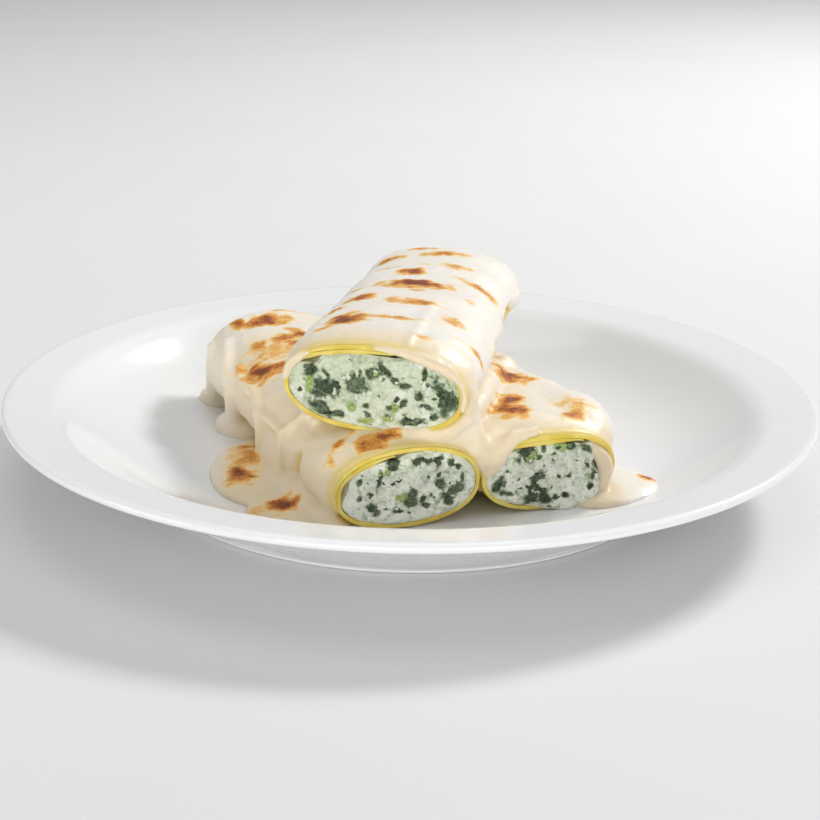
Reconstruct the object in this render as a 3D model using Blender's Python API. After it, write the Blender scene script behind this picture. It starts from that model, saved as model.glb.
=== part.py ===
"""Cannelloni on a plate: three rolled pasta sheets filled with spinach and ricotta, two side by side
and one laid across them, under a bechamel that coats them and runs out into pools on the plate.

Metres, +Z up. The origin is on the table under the middle of the plate, and -Y is the side that
the cut ends of the rolls face.
"""

import math
from dataclasses import dataclass

import bmesh
import bpy
import numpy as np
from mathutils import Matrix, Vector, noise

MM = 0.001
GAP = 0.3 * MM  # clearance between neighbouring solids
FULL_TURN = 2 * math.pi

# Plate: a round coupe plate with a narrow, nearly flat lip and a foot ring.
PLATE_RADIUS = 105 * MM
PLATE_HEIGHT = 23.2 * MM
FLOOR_TOP = 6.0 * MM
FLOOR_RADIUS = 58 * MM
SHOULDER_RADIUS = 88 * MM  # the wall is steepest here
LIP_START_RADIUS = 94 * MM
LIP_SLOPE = 0.13
LIP_EDGE_RADIUS = 1.2 * MM
FOOT_OUTER_RADIUS = 68 * MM
FOOT_INNER_RADIUS = 62 * MM
FOOT_HEIGHT = 2.2 * MM
FOOT_ROUNDING = 0.8 * MM
PLATE_STEPS = 56

# Pasta sheet, and the way it is rolled up.
SHEET_THICKNESS = 1.3 * MM
SHEET_PITCH = SHEET_THICKNESS + GAP  # from one layer to the next where the sheet overlaps itself
SHEET_OVERLAP = math.radians(80)
SHEET_EASE = math.radians(50)  # over this angle the sheet comes out from under its own overlap
SQUARENESS = 2.25  # exponent of the squashed tube's section: 2 is an ellipse
SPIRAL_STEP = math.radians(10)
LENGTH_STEPS = 5

# Filling.
FILLING_RECESS = 0.9 * MM  # how far the filling stays behind the pasta's cut edge
CURD_RELIEF = 2.2 * MM
FILLING_STEPS = 26

# Bechamel.
COAT_FADE = math.radians(30)  # the coat thins out over this angle at its lower edges
SUNK = 2.0 * MM  # where a blank for the coat isn't sauce, it lies this far inside the pasta
BARE_EDGE = 1.3 * MM  # pasta that the coat leaves bare at each cut end
VOXEL = 2.0 * MM
SETTLING = 8
KEPT_FACES = 0.083


@dataclass
class Roll:
    """One filled roll. Its section is a squashed tube that is carried from the front to the back end."""

    name: str
    front: tuple  # centre of the front cut, across and along the plate
    back: tuple
    half_width: tuple  # at the front and at the back
    half_height: tuple
    rests_at: tuple  # height of the roll's underside, at the front and at the back
    tilt: tuple  # turn about the roll's own axis, at the front and at the back
    seam: float  # where the sheet's inner edge lies; angles start at the right and go over the top
    bow: float  # how far the middle stands out sideways
    coat_from: float  # the coat covers the section between these angles
    coat_to: float
    coat: tuple  # the coat's thickness at the front and at the back

    def length(self):
        return math.dist(self.front, self.back)

    def along(self):
        return Vector((self.back[0] - self.front[0], self.back[1] - self.front[1], 0)).normalized()

    def point(self, t, angle, inset):
        """A point of the section at share t of the length, moved in from the outer surface by inset."""
        along = self.along()
        level = Vector((along.y, -along.x, 0))
        tilt = np.interp(t, (0, 1), self.tilt)
        across = level * math.cos(tilt) + Vector((0, 0, math.sin(tilt)))
        up = Vector((0, 0, math.cos(tilt))) - level * math.sin(tilt)
        half_width = np.interp(t, (0, 1), self.half_width) - inset
        half_height = np.interp(t, (0, 1), self.half_height)
        centre = Vector((*self.front, 0)) + along * self.length() * t
        centre += level * self.bow * 4 * t * (1 - t)
        centre.z = np.interp(t, (0, 1), self.rests_at) + half_height
        power = 2 / SQUARENESS
        cosine, sine = math.cos(angle), math.sin(angle)
        sideways = math.copysign(abs(cosine) ** power, cosine) * half_width
        upwards = math.copysign(abs(sine) ** power, sine) * (half_height - inset)
        return centre + across * sideways + up * upwards


LOWER_REST = FLOOR_TOP + GAP
UPPER_REST = 27.2 * MM
ROLLS = (
    Roll(
        "left",
        front=(0.2 * MM, -55 * MM),
        back=(-41 * MM, 44 * MM),
        half_width=(18.3 * MM, 17.6 * MM),
        half_height=(9.8 * MM, 11.2 * MM),
        rests_at=(LOWER_REST, LOWER_REST + 1.3 * MM),
        tilt=(0, 0),
        seam=math.radians(100),
        bow=-0.5 * MM,
        coat_from=math.radians(5),
        coat_to=math.radians(215),
        coat=(1.7 * MM, 2.8 * MM),
    ),
    Roll(
        "right",
        front=(34.0 * MM, -41.8 * MM),
        back=(-1.0 * MM, 50 * MM),
        half_width=(17.6 * MM, 17.0 * MM),
        half_height=(9.4 * MM, 10.1 * MM),
        rests_at=(LOWER_REST, LOWER_REST),
        tilt=(0, 0),
        seam=math.radians(60),
        bow=0.3 * MM,
        coat_from=math.radians(-35),
        coat_to=math.radians(175),
        coat=(2.4 * MM, 2.4 * MM),
    ),
    Roll(
        "top",
        front=(-8.6 * MM, -48 * MM),
        back=(10.6 * MM, 51 * MM),
        half_width=(21.6 * MM, 19.5 * MM),
        half_height=(10.6 * MM, 10.3 * MM),
        rests_at=(UPPER_REST, UPPER_REST),
        tilt=(math.radians(-3), math.radians(0.5)),
        seam=math.radians(80),
        bow=0.6 * MM,
        coat_from=math.radians(-30),
        coat_to=math.radians(205),
        coat=(2.2 * MM, 2.4 * MM),
    ),
)

# Sauce that has run off the rolls: name, middle, half sizes, and turn about the upright.
DROPS = (
    ("pool on the left", (-32 * MM, -30 * MM, FLOOR_TOP), (18 * MM, 26 * MM, 3.2 * MM), 10),
    ("pool before the left roll", (-22 * MM, -48 * MM, FLOOR_TOP), (17 * MM, 10 * MM, 3.0 * MM), 0),
    ("pool on the right", (48 * MM, -29 * MM, FLOOR_TOP), (15 * MM, 13 * MM, 4.2 * MM), 0),
    ("front drip's foot", (-45 * MM, 9 * MM, FLOOR_TOP), (8.5 * MM, 10 * MM, 6.0 * MM), 20),
    ("front drip", (-45 * MM, 14 * MM, 15 * MM), (5.0 * MM, 5.5 * MM, 11 * MM), 20),
    ("back drip's foot", (-53.5 * MM, 33 * MM, FLOOR_TOP), (7.5 * MM, 7.5 * MM, 6.0 * MM), 0),
    ("back drip", (-53 * MM, 35 * MM, 14 * MM), (4.5 * MM, 5.0 * MM, 10 * MM), 20),
    ("curtain between the cut ends", (18 * MM, -38 * MM, 20 * MM), (6 * MM, 10 * MM, 6.5 * MM), 20),
    ("left crease", (-18.5 * MM, -15 * MM, 28 * MM), (5 * MM, 26 * MM, 3.5 * MM), -13),
    ("right crease", (18.5 * MM, -8 * MM, 28 * MM), (5 * MM, 32 * MM, 4 * MM), -11),
    ("lump on the right roll", (41 * MM, -20 * MM, 20 * MM), (9 * MM, 15 * MM, 8.5 * MM), 20),
    ("lump on the left roll", (-41 * MM, 35 * MM, 26 * MM), (14 * MM, 8.5 * MM, 7 * MM), 20),
)


def material(name, colour, roughness):
    made = bpy.data.materials.new(name)
    made.use_nodes = True
    shader = made.node_tree.nodes["Principled BSDF"]
    shader.inputs["Base Color"].default_value = (*colour, 1)
    shader.inputs["Roughness"].default_value = roughness
    shader.inputs["Metallic"].default_value = 0
    return made


def add_object(name, mesh, finish=None):
    made = bpy.data.objects.new(name, mesh)
    bpy.context.scene.collection.objects.link(made)
    if finish:
        mesh.materials.append(finish)
    return made


def shade(mesh):
    mesh.shade_smooth()
    mesh.set_sharp_from_angle(angle=math.radians(40))


def upper_profile():
    """Radius and height along the plate's upper side, from the middle to the lip's outer edge.

    The slope grows evenly from the floor's edge to the shoulder, and falls to the lip's own slope
    between the shoulder and the lip. The height is the sum of that slope.
    """
    lip_end = PLATE_RADIUS - LIP_EDGE_RADIUS
    wall = SHOULDER_RADIUS - FLOOR_RADIUS
    shoulder = LIP_START_RADIUS - SHOULDER_RADIUS
    rise = PLATE_HEIGHT - LIP_SLOPE * (lip_end - LIP_START_RADIUS) - FLOOR_TOP
    steepest = (rise - LIP_SLOPE * shoulder / 2) / ((wall + shoulder) / 2)

    def height(radius):
        up_wall = np.clip(radius - FLOOR_RADIUS, 0, wall)
        over = np.clip(radius - SHOULDER_RADIUS, 0, shoulder)
        on_lip = max(radius - LIP_START_RADIUS, 0)
        z = FLOOR_TOP + steepest * up_wall**2 / (2 * wall)
        z += steepest * over + (LIP_SLOPE - steepest) * over**2 / (2 * shoulder)
        return z + LIP_SLOPE * on_lip

    on_wall = np.linspace(FLOOR_RADIUS, SHOULDER_RADIUS, 5)
    on_shoulder = np.linspace(SHOULDER_RADIUS, LIP_START_RADIUS, 4)[1:]
    radii = [0, FLOOR_RADIUS / 2, *on_wall, *on_shoulder, lip_end]
    return [(radius, height(radius)) for radius in radii]


def lower_profile():
    """Radius and height from the lip's rounded edge down the nearly straight underside to the foot."""
    lip_end = PLATE_RADIUS - LIP_EDGE_RADIUS
    profile = []
    for turn in np.radians((40, 90, 140)):
        radius = lip_end + LIP_EDGE_RADIUS * math.sin(turn)
        profile.append((radius, PLATE_HEIGHT - LIP_EDGE_RADIUS * (1 - math.cos(turn))))
    start_radius, start_z = profile[-1]
    end_z = FOOT_ROUNDING
    for share in (0.33, 0.67, 1.0):
        radius = start_radius + (FOOT_OUTER_RADIUS - start_radius) * share
        profile.append((radius, end_z + (start_z - end_z) * (1 - share) ** 0.92))
    profile.append((FOOT_OUTER_RADIUS - FOOT_ROUNDING, 0))
    profile.append((FOOT_INNER_RADIUS + FOOT_ROUNDING, 0))
    profile.append((FOOT_INNER_RADIUS, FOOT_HEIGHT))
    profile.append((0, FOOT_HEIGHT))
    return profile


def turned(name, profile, finish=None):
    """A solid turned from a profile that runs from the axis outwards and back to it underneath."""
    mesh = bpy.data.meshes.new(name)
    points = [(radius, 0, z) for radius, z in profile]
    mesh.from_pydata(points, [(i, i + 1) for i in range(len(points) - 1)], [])
    made = add_object(name, mesh, finish)
    screw = made.modifiers.new("turned round the middle", "SCREW")
    screw.steps = screw.render_steps = PLATE_STEPS
    screw.use_merge_vertices = True
    screw.merge_threshold = 0.00001
    screw.use_smooth_shade = True
    return made


def make_plate():
    porcelain = material("porcelain", (0.86, 0.86, 0.87), 0.12)
    return turned("plate", upper_profile() + lower_profile(), porcelain)


def ease(share):
    share = np.clip(share, 0, 1)
    return share * share * (3 - 2 * share)


def sheet_inset(turned):
    """How far the sheet's outer face lies inside the roll's surface, turned round from its inner edge.

    It is one layer deep where the sheet's other end lies over it, and then comes out to the surface.
    """
    return SHEET_PITCH * ease((SHEET_OVERLAP + SHEET_EASE - turned) / SHEET_EASE)


def filling_inset(turned):
    """The filling keeps clear of the sheet, and draws in before it reaches the sheet's inner edge."""
    before_edge = FULL_TURN - turned
    drawn_in = SHEET_PITCH * ease((SHEET_EASE - before_edge) / (SHEET_EASE / 2))
    return max(sheet_inset(turned), drawn_in) + SHEET_THICKNESS + GAP


def make_pasta(roll, finish):
    """The sheet, rolled up from its inner edge at the seam round to its outer edge past the seam."""
    around = np.arange(0, FULL_TURN + SHEET_OVERLAP + SPIRAL_STEP / 2, SPIRAL_STEP)
    points = []
    for t in np.linspace(0, 1, LENGTH_STEPS):
        points += [roll.point(t, roll.seam + turned, sheet_inset(turned)) for turned in around]
    faces = []
    for row in range(LENGTH_STEPS - 1):
        for column in range(len(around) - 1):
            corner = row * len(around) + column
            above = corner + len(around)
            faces.append((corner, above, above + 1, corner + 1))
    mesh = bpy.data.meshes.new(f"pasta_{roll.name}")
    mesh.from_pydata(points, [], faces)
    shade(mesh)
    pasta = add_object(f"pasta_{roll.name}", mesh, finish)
    thickness = pasta.modifiers.new("sheet thickness", "SOLIDIFY")
    thickness.thickness = SHEET_THICKNESS
    thickness.offset = -1
    thickness.use_even_offset = True
    return pasta


def closed_loft(name, rings):
    """A closed solid over rings of points, with a flat face at each end."""
    made = bmesh.new()
    loops = [[made.verts.new(point) for point in ring] for ring in rings]
    for one, other in zip(loops, loops[1:]):
        for i in range(len(one)):
            after = (i + 1) % len(one)
            made.faces.new((one[i], one[after], other[after], other[i]))
    made.faces.new(loops[0][::-1])
    made.faces.new(loops[-1])
    bmesh.ops.recalc_face_normals(made, faces=made.faces)
    mesh = bpy.data.meshes.new(name)
    made.to_mesh(mesh)
    made.free()
    return mesh


def make_filling(roll, finish):
    """The core inside the sheet, with uneven cut ends."""
    around = np.linspace(0, FULL_TURN, FILLING_STEPS, endpoint=False)
    recess = FILLING_RECESS / roll.length()

    def ring(t, share):
        middle = (roll.point(t, 0, 0) + roll.point(t, math.pi, 0)) / 2
        edge = [roll.point(t, roll.seam + turned, filling_inset(turned)) for turned in around]
        points = [middle.lerp(point, share) for point in edge]
        relief = CURD_RELIEF if share < 1 else 0
        return [point + roll.along() * noise.noise(point * 170) * relief for point in points]

    cap_shares = (0.25, 0.5, 0.75)
    rings = [ring(recess, share) for share in cap_shares]
    rings += [ring(t, 1) for t in np.linspace(recess, 1 - recess, LENGTH_STEPS)]
    rings += [ring(1 - recess, share) for share in reversed(cap_shares)]
    mesh = closed_loft(f"filling_{roll.name}", rings)
    shade(mesh)
    return add_object(f"filling_{roll.name}", mesh, finish)


def roll_shape(roll, name, start, end, stands_out, around=40):
    """The roll's outer shape between two shares of its length, with stands_out(t, angle) added."""
    angles = np.linspace(0, FULL_TURN, around, endpoint=False)
    rings = [
        [roll.point(t, angle, -stands_out(t, angle)) for angle in angles]
        for t in np.linspace(start, end, LENGTH_STEPS)
    ]
    return closed_loft(name, rings)


def coat_blank(roll):
    """The roll with the coat's thickness added where sauce covers it, and sunk inside elsewhere."""
    middle = (roll.coat_from + roll.coat_to) / 2
    reach = (roll.coat_to - roll.coat_from) / 2

    def stands_out(t, angle):
        thickness = np.interp(t, (0, 1), roll.coat)
        away = abs((angle - middle + math.pi) % FULL_TURN - math.pi)
        return -SUNK + (thickness + SUNK) * ease((reach - away) / COAT_FADE)

    edge = BARE_EDGE / roll.length()
    return roll_shape(roll, f"coat_{roll.name}", edge, 1 - edge, stands_out)


def drop_blank(name, middle, half_sizes, turn):
    made = bmesh.new()
    place = Matrix.Translation(middle) @ Matrix.Rotation(math.radians(turn), 4, "Z")
    place @= Matrix.Diagonal((*half_sizes, 1))
    bmesh.ops.create_uvsphere(made, u_segments=28, v_segments=14, radius=1, matrix=place)
    mesh = bpy.data.meshes.new(name)
    made.to_mesh(mesh)
    made.free()
    return mesh


def cutter(made):
    made.hide_render = True
    made.display_type = "WIRE"
    return made


def plate_cutter():
    """Everything below the plate's upper side, with the clearance on top of it."""
    raised = [(radius, z + GAP) for radius, z in upper_profile()]
    far_below = -20 * MM
    return cutter(turned("cut_plate", raised + [(raised[-1][0], far_below), (0, far_below)]))


def roll_cutter(roll):
    past_the_end = GAP / roll.length()
    mesh = roll_shape(roll, f"cut_{roll.name}", -past_the_end, 1 + past_the_end, lambda t, angle: GAP)
    return cutter(add_object(mesh.name, mesh))


def largest_island(mesh):
    """Keeps only the biggest connected piece of a mesh."""
    made = bmesh.new()
    made.from_mesh(mesh)
    waiting = set(made.verts)
    islands = []
    while waiting:
        start = waiting.pop()
        island = {start}
        border = [start]
        while border:
            vert = border.pop()
            beside = {edge.other_vert(vert) for edge in vert.link_edges} & waiting
            waiting -= beside
            island |= beside
            border.extend(beside)
        islands.append(island)
    islands.sort(key=len)
    for island in islands[:-1]:
        bmesh.ops.delete(made, geom=list(island), context="VERTS")
    made.to_mesh(mesh)
    made.free()


def make_bechamel():
    """Coats and drops of sauce run together and settled, less the plate and the rolls under them."""
    blanks = [coat_blank(roll) for roll in ROLLS]
    blanks += [drop_blank(*drop) for drop in DROPS]
    joined = bmesh.new()
    for blank in blanks:
        joined.from_mesh(blank)
        bpy.data.meshes.remove(blank)
    mesh = bpy.data.meshes.new("bechamel")
    joined.to_mesh(mesh)
    joined.free()
    sauce = add_object("bechamel", mesh)

    run_together = sauce.modifiers.new("run together", "REMESH")
    run_together.mode = "VOXEL"
    run_together.voxel_size = VOXEL
    settle = sauce.modifiers.new("settle", "SMOOTH")
    settle.factor = 0.5
    settle.iterations = SETTLING
    fewer = sauce.modifiers.new("fewer faces", "DECIMATE")
    fewer.ratio = KEPT_FACES
    for solid in [plate_cutter()] + [roll_cutter(roll) for roll in ROLLS]:
        cut = sauce.modifiers.new(solid.name, "BOOLEAN")
        cut.operation = "DIFFERENCE"
        cut.solver = "EXACT"
        cut.use_self = True
        cut.object = solid

    depsgraph = bpy.context.evaluated_depsgraph_get()
    finished = bpy.data.meshes.new_from_object(sauce.evaluated_get(depsgraph))
    sauce.modifiers.clear()
    sauce.data = finished
    largest_island(finished)
    finished.materials.clear()
    finished.materials.append(material("bechamel", (0.84, 0.74, 0.58), 0.35))
    return sauce


def main():
    for old in list(bpy.data.objects):
        bpy.data.objects.remove(old, do_unlink=True)
    make_plate()
    for roll in ROLLS:
        make_pasta(roll, material(f"egg_pasta_{roll.name}", (0.80, 0.62, 0.12), 0.45))
        make_filling(roll, material(f"spinach_ricotta_{roll.name}", (0.52, 0.60, 0.44), 0.7))
    make_bechamel()


main()
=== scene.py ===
"""Cannelloni on a plate: three rolled pasta sheets filled with spinach and ricotta, two side by side
and one laid across them, under a browned bechamel that runs out into pools on the plate.

Sizes are in millimetres, in the solid model's frame: +Z up, the origin on the table under the middle
of the plate, and -Y the side that the cut ends face. Meshes get them in metres.
"""

import math
from dataclasses import dataclass

import bpy
import numpy as np
from mathutils import Matrix, Vector


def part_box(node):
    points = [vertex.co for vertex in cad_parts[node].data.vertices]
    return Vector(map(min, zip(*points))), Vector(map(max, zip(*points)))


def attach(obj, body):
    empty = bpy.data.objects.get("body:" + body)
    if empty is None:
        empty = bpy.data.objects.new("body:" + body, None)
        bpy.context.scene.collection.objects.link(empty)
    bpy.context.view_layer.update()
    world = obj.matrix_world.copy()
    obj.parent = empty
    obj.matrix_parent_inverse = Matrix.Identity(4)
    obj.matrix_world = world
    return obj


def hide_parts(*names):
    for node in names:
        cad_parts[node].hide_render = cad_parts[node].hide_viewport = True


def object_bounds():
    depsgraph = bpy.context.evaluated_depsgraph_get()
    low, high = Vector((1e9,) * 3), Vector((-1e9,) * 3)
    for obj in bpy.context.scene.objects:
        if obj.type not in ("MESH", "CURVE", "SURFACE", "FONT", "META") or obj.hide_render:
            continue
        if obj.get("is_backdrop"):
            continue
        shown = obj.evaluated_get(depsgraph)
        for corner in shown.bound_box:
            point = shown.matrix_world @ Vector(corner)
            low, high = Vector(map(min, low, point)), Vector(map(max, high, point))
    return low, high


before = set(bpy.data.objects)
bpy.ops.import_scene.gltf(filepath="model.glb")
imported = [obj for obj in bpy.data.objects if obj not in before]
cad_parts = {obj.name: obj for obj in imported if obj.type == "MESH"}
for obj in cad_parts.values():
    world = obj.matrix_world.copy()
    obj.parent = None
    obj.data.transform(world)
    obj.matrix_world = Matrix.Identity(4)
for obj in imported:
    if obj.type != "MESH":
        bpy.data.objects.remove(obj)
cad_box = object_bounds()

# --- Plate ---
# White glazed porcelain, turned on a wheel or pressed, with a curved wall, a narrow and nearly flat
# lip and a foot ring on which it stands. The glaze pools very slightly, so its shine isn't quite even.

MM = 0.001
FULL_TURN = 2 * math.pi


def add_piece(name, points, faces, finish, slot, replaced=None, marks=None):
    """A smooth mesh piece from points in millimetres, fixed to the one body.

    Marks are named values or vectors, one for each point, that its finish reads.
    """
    mesh = bpy.data.meshes.new(name)
    mesh.from_pydata(points.reshape(-1, 3) * MM, [], faces)
    mesh.materials.append(finish)
    mesh.shade_smooth()
    for mark, values in (marks or {}).items():
        kind, field = ("FLOAT", "value") if values.ndim == 1 else ("FLOAT_VECTOR", "vector")
        mesh.attributes.new(mark, kind, "POINT").data.foreach_set(field, values.ravel())
    piece = bpy.data.objects.new(name, mesh)
    bpy.context.scene.collection.objects.link(piece)
    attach(piece, "root")
    if replaced:
        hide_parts(replaced)


def quads(rows, columns, closed=False):
    """The four-sided faces of a grid of points, numbered row by row; closed, each row is a ring."""
    below = np.arange(rows - 1)[:, None] * columns
    here = np.arange(columns if closed else columns - 1)
    above, after = below + columns, (here + 1) % columns
    return np.stack([below + here, below + after, above + after, above + here], -1).reshape(-1, 4)


def carried_round(rings, first_pole, last_pole):
    """A closed skin over rings of points, each end drawn together in one point."""
    rows, columns = rings.shape[:2]
    points = np.concatenate([rings.reshape(-1, 3), [first_pole], [last_pole]])
    here, pole = np.arange(columns), np.full(columns, rows * columns)
    after, last = (here + 1) % columns, pole - columns
    faces = quads(rows, columns, closed=True).tolist() + np.stack([after, here, pole], -1).tolist()
    return points, faces + np.stack([last + here, last + after, pole + 1], -1).tolist()


PLATE_RADIUS, _, PLATE_HEIGHT = np.array(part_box("plate")[1]) / MM
FLOOR_TOP = 6.0
FLOOR_RADIUS = 58.0
SHOULDER_RADIUS = 88.0  # the wall is steepest here
LIP_START_RADIUS = 94.0
LIP_SLOPE = 0.13
LIP_EDGE_RADIUS = 1.2
LIP_END_RADIUS = PLATE_RADIUS - LIP_EDGE_RADIUS
FOOT_OUTER_RADIUS = 68.0
FOOT_INNER_RADIUS = 62.0
FOOT_HEIGHT = 2.2
FOOT_ROUNDING = 0.8
UNDERSIDE_POWER = 0.92  # a little under 1: the underside is nearly a cone


def plate_top(radius):
    """Height of the plate's upper side.

    The slope grows evenly from the floor's edge to the shoulder and falls evenly to the lip's own
    slope; the height is the sum of that slope.
    """
    wall = SHOULDER_RADIUS - FLOOR_RADIUS
    shoulder = LIP_START_RADIUS - SHOULDER_RADIUS
    rise = PLATE_HEIGHT - LIP_SLOPE * (LIP_END_RADIUS - LIP_START_RADIUS) - FLOOR_TOP
    steepest = (rise - LIP_SLOPE * shoulder / 2) / ((wall + shoulder) / 2)
    up_wall = np.clip(radius - FLOOR_RADIUS, 0, wall)
    over = np.clip(radius - SHOULDER_RADIUS, 0, shoulder)
    height = FLOOR_TOP + steepest * up_wall**2 / (2 * wall)
    height = height + steepest * over + (LIP_SLOPE - steepest) * over**2 / (2 * shoulder)
    return height + LIP_SLOPE * np.clip(radius - LIP_START_RADIUS, 0, None)


def rounded_corner(radius, height, rounding, start, end, steps=6):
    """Points on an arc about a middle, between two turns in degrees, 0 outwards and 90 up."""
    turns = np.radians(np.linspace(start, end, steps))
    return radius + rounding * np.cos(turns), height + rounding * np.sin(turns)


def turned_plate(around=256):
    """The profile turned round the upright: x and y are the radius times cosine and sine of the turn.

    The profile runs from the middle over the wall and the lip's round edge, down to the foot ring.
    """
    top = np.concatenate([np.linspace(4, 56, 14), np.linspace(58, LIP_END_RADIUS - 1, 44)])
    edge = rounded_corner(LIP_END_RADIUS, PLATE_HEIGHT - LIP_EDGE_RADIUS, LIP_EDGE_RADIUS, 82, -50, 12)
    share = np.linspace(0, 1, 24)[1:-1]
    under_radius = edge[0][-1] + (FOOT_OUTER_RADIUS - edge[0][-1]) * share
    under = FOOT_ROUNDING + (edge[1][-1] - FOOT_ROUNDING) * (1 - share) ** UNDERSIDE_POWER
    r = FOOT_ROUNDING
    outer = rounded_corner(FOOT_OUTER_RADIUS - r, r, r, 0, -90)
    inner = rounded_corner(FOOT_INNER_RADIUS + r, r, r, -90, -180)
    fillet = rounded_corner(FOOT_INNER_RADIUS - r, FOOT_HEIGHT - r, r, 0, 90)
    base = (np.linspace(55, 5, 8), np.full(8, FOOT_HEIGHT))
    parts = [(top, plate_top(top)), edge, (under_radius, under), outer, inner, fillet, base]
    radius, height = np.concatenate(parts, axis=1)[:, :, None]
    turn = np.linspace(0, FULL_TURN, around, endpoint=False)[::-1]
    rings = np.stack(np.broadcast_arrays(radius * np.cos(turn), radius * np.sin(turn), height), -1)
    return carried_round(rings, (0, 0, FLOOR_TOP), (0, 0, FOOT_HEIGHT))


def operator(operation, flipped=False):
    """A method of Value that adds the Math node of an operation; flipped, the other value comes first."""
    def method(self, other):
        pair = (other, self) if flipped else (self, other)
        return self.finish.add("ShaderNodeMath", {"operation": operation}, dict(enumerate(pair)))
    return method


class Value:
    """A socket of a material. Sums, differences and products of values add the Math nodes for them."""

    __add__, __radd__ = operator("ADD"), operator("ADD", flipped=True)
    __sub__, __rsub__ = operator("SUBTRACT"), operator("SUBTRACT", flipped=True)
    __mul__, __rmul__ = operator("MULTIPLY"), operator("MULTIPLY", flipped=True)

    def __init__(self, finish, socket):
        self.finish = finish
        self.socket = socket

    def between(self, low, high):
        """0 below low and 1 above high, with a soft step between them."""
        inputs = {"Value": self, "From Min": low, "From Max": high}
        return self.finish.add("ShaderNodeMapRange", {"interpolation_type": "SMOOTHSTEP"}, inputs)


class Finish:
    """A material and its nodes."""

    def __init__(self, name):
        self.material = bpy.data.materials.new(name)
        self.material.use_nodes = True
        self.nodes = self.material.node_tree.nodes
        self.shader = self.nodes["Principled BSDF"]
        self.place = self.add("ShaderNodeTexCoord", output="Object")

    def give(self, socket, value):
        if isinstance(value, Value):
            self.material.node_tree.links.new(value.socket, socket)
        elif isinstance(value, tuple) and socket.type == "RGBA":
            socket.default_value = (*value, 1)
        else:
            socket.default_value = value

    def add(self, kind, settings=None, inputs=None, output=0):
        """A node of a kind: its settings and a ramp's stops come first, then its inputs."""
        node = self.nodes.new(kind)
        for name, value in (settings or {}).items():
            if name == "stops":
                ramp = node.color_ramp.elements
                while len(ramp) < len(value):
                    ramp.new(0.5)
                for stop, (position, colour) in zip(ramp, value):
                    stop.position = position
                    stop.color = (*colour, 1)
            else:
                setattr(node, name, value)
        for name, value in (inputs or {}).items():
            self.give(node.inputs[name], value)
        return Value(self, node.outputs[output])

    def noise(self, size, detail=2.0, roughness=0.5):
        """Uneven values of about a size, in millimetres."""
        inputs = {"Vector": self.place, "Scale": 1 / (size * MM), "Detail": detail, "Roughness": roughness}
        return self.add("ShaderNodeTexNoise", None, inputs)

    def mark(self, name, output="Fac"):
        """A mark of the piece's points."""
        return self.add("ShaderNodeAttribute", {"attribute_name": name}, output=output)

    def mix(self, share, first, second):
        """A colour between two colours."""
        return self.add("ShaderNodeMix", {"data_type": "RGBA"}, {0: share, 6: first, 7: second}, 2)

    def relief(self, height, depth):
        """A bumped normal; the height is 0 to 1 and stands for a depth in millimetres."""
        return self.add("ShaderNodeBump", None, {"Height": height, "Distance": depth * MM, "Strength": 1.0})

    def surface(self, **inputs):
        """Sets the shader's own sockets; an underscore stands for a space."""
        for name, value in inputs.items():
            self.give(self.shader.inputs[name.replace("_", " ")], value)
        return self.material


def porcelain():
    glaze = Finish("porcelain")
    tint = glaze.noise(45, detail=3)
    pooled = glaze.noise(14, detail=1)
    return glaze.surface(
        Base_Color=glaze.mix(tint, (0.85, 0.855, 0.87), (0.88, 0.885, 0.90)),
        Roughness=0.10 + pooled * 0.07,
        Normal=glaze.relief(pooled, 0.05),
        Specular_IOR_Level=0.55,
        Coat_Weight=0.35,
        Coat_Roughness=0.05,
    )


add_piece("porcelain_plate", *turned_plate(), porcelain(), "porcelain", "plate")

# --- Pasta ---
# Three sheets of fresh egg pasta, each rolled up round its filling so that its edges overlap, cut
# square at both ends and cooked until soft. The rolls are squashed to an oval.

SHEET_THICKNESS = 1.08
SHEET_PITCH = SHEET_THICKNESS + 0.06  # from one layer to the next where the sheet overlaps itself
SHEET_OVERLAP = math.radians(80)
SHEET_WEDGE = math.radians(45)  # over this angle the sheet's outer end is pressed to a thin edge
SHEET_EASE = math.radians(25)
THIN_EDGE = 0.4  # the sheet's thickness at its pressed ends
EDGE_ROUNDING = 0.2  # of the cut edges
END_WANDER_REACH = 3.0  # this near to a cut, its unevenness moves the sheet along the roll
SQUARENESS = 2.25  # exponent of the squashed tube's section: 2 is an ellipse


def squashed_distance(wide, high, wide_slope, high_slope, exponent):
    """Distance out from an oval, given two shares of its half sizes and the shares' own slopes.

    The shares, raised to the exponent and summed, give a ratio that is 1 on the surface; the
    distance is that ratio less 1, over its slope.
    """
    ratio = (wide**exponent + high**exponent) ** (1 / exponent)
    power = exponent - 1
    slope = np.hypot((wide / ratio) ** power * wide_slope, (high / ratio) ** power * high_slope)
    return (ratio - 1) / slope


def part_way(pair, share):
    """The value at a share of the way from a pair's first value to its second."""
    return pair[0] + (pair[1] - pair[0]) * share


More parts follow.
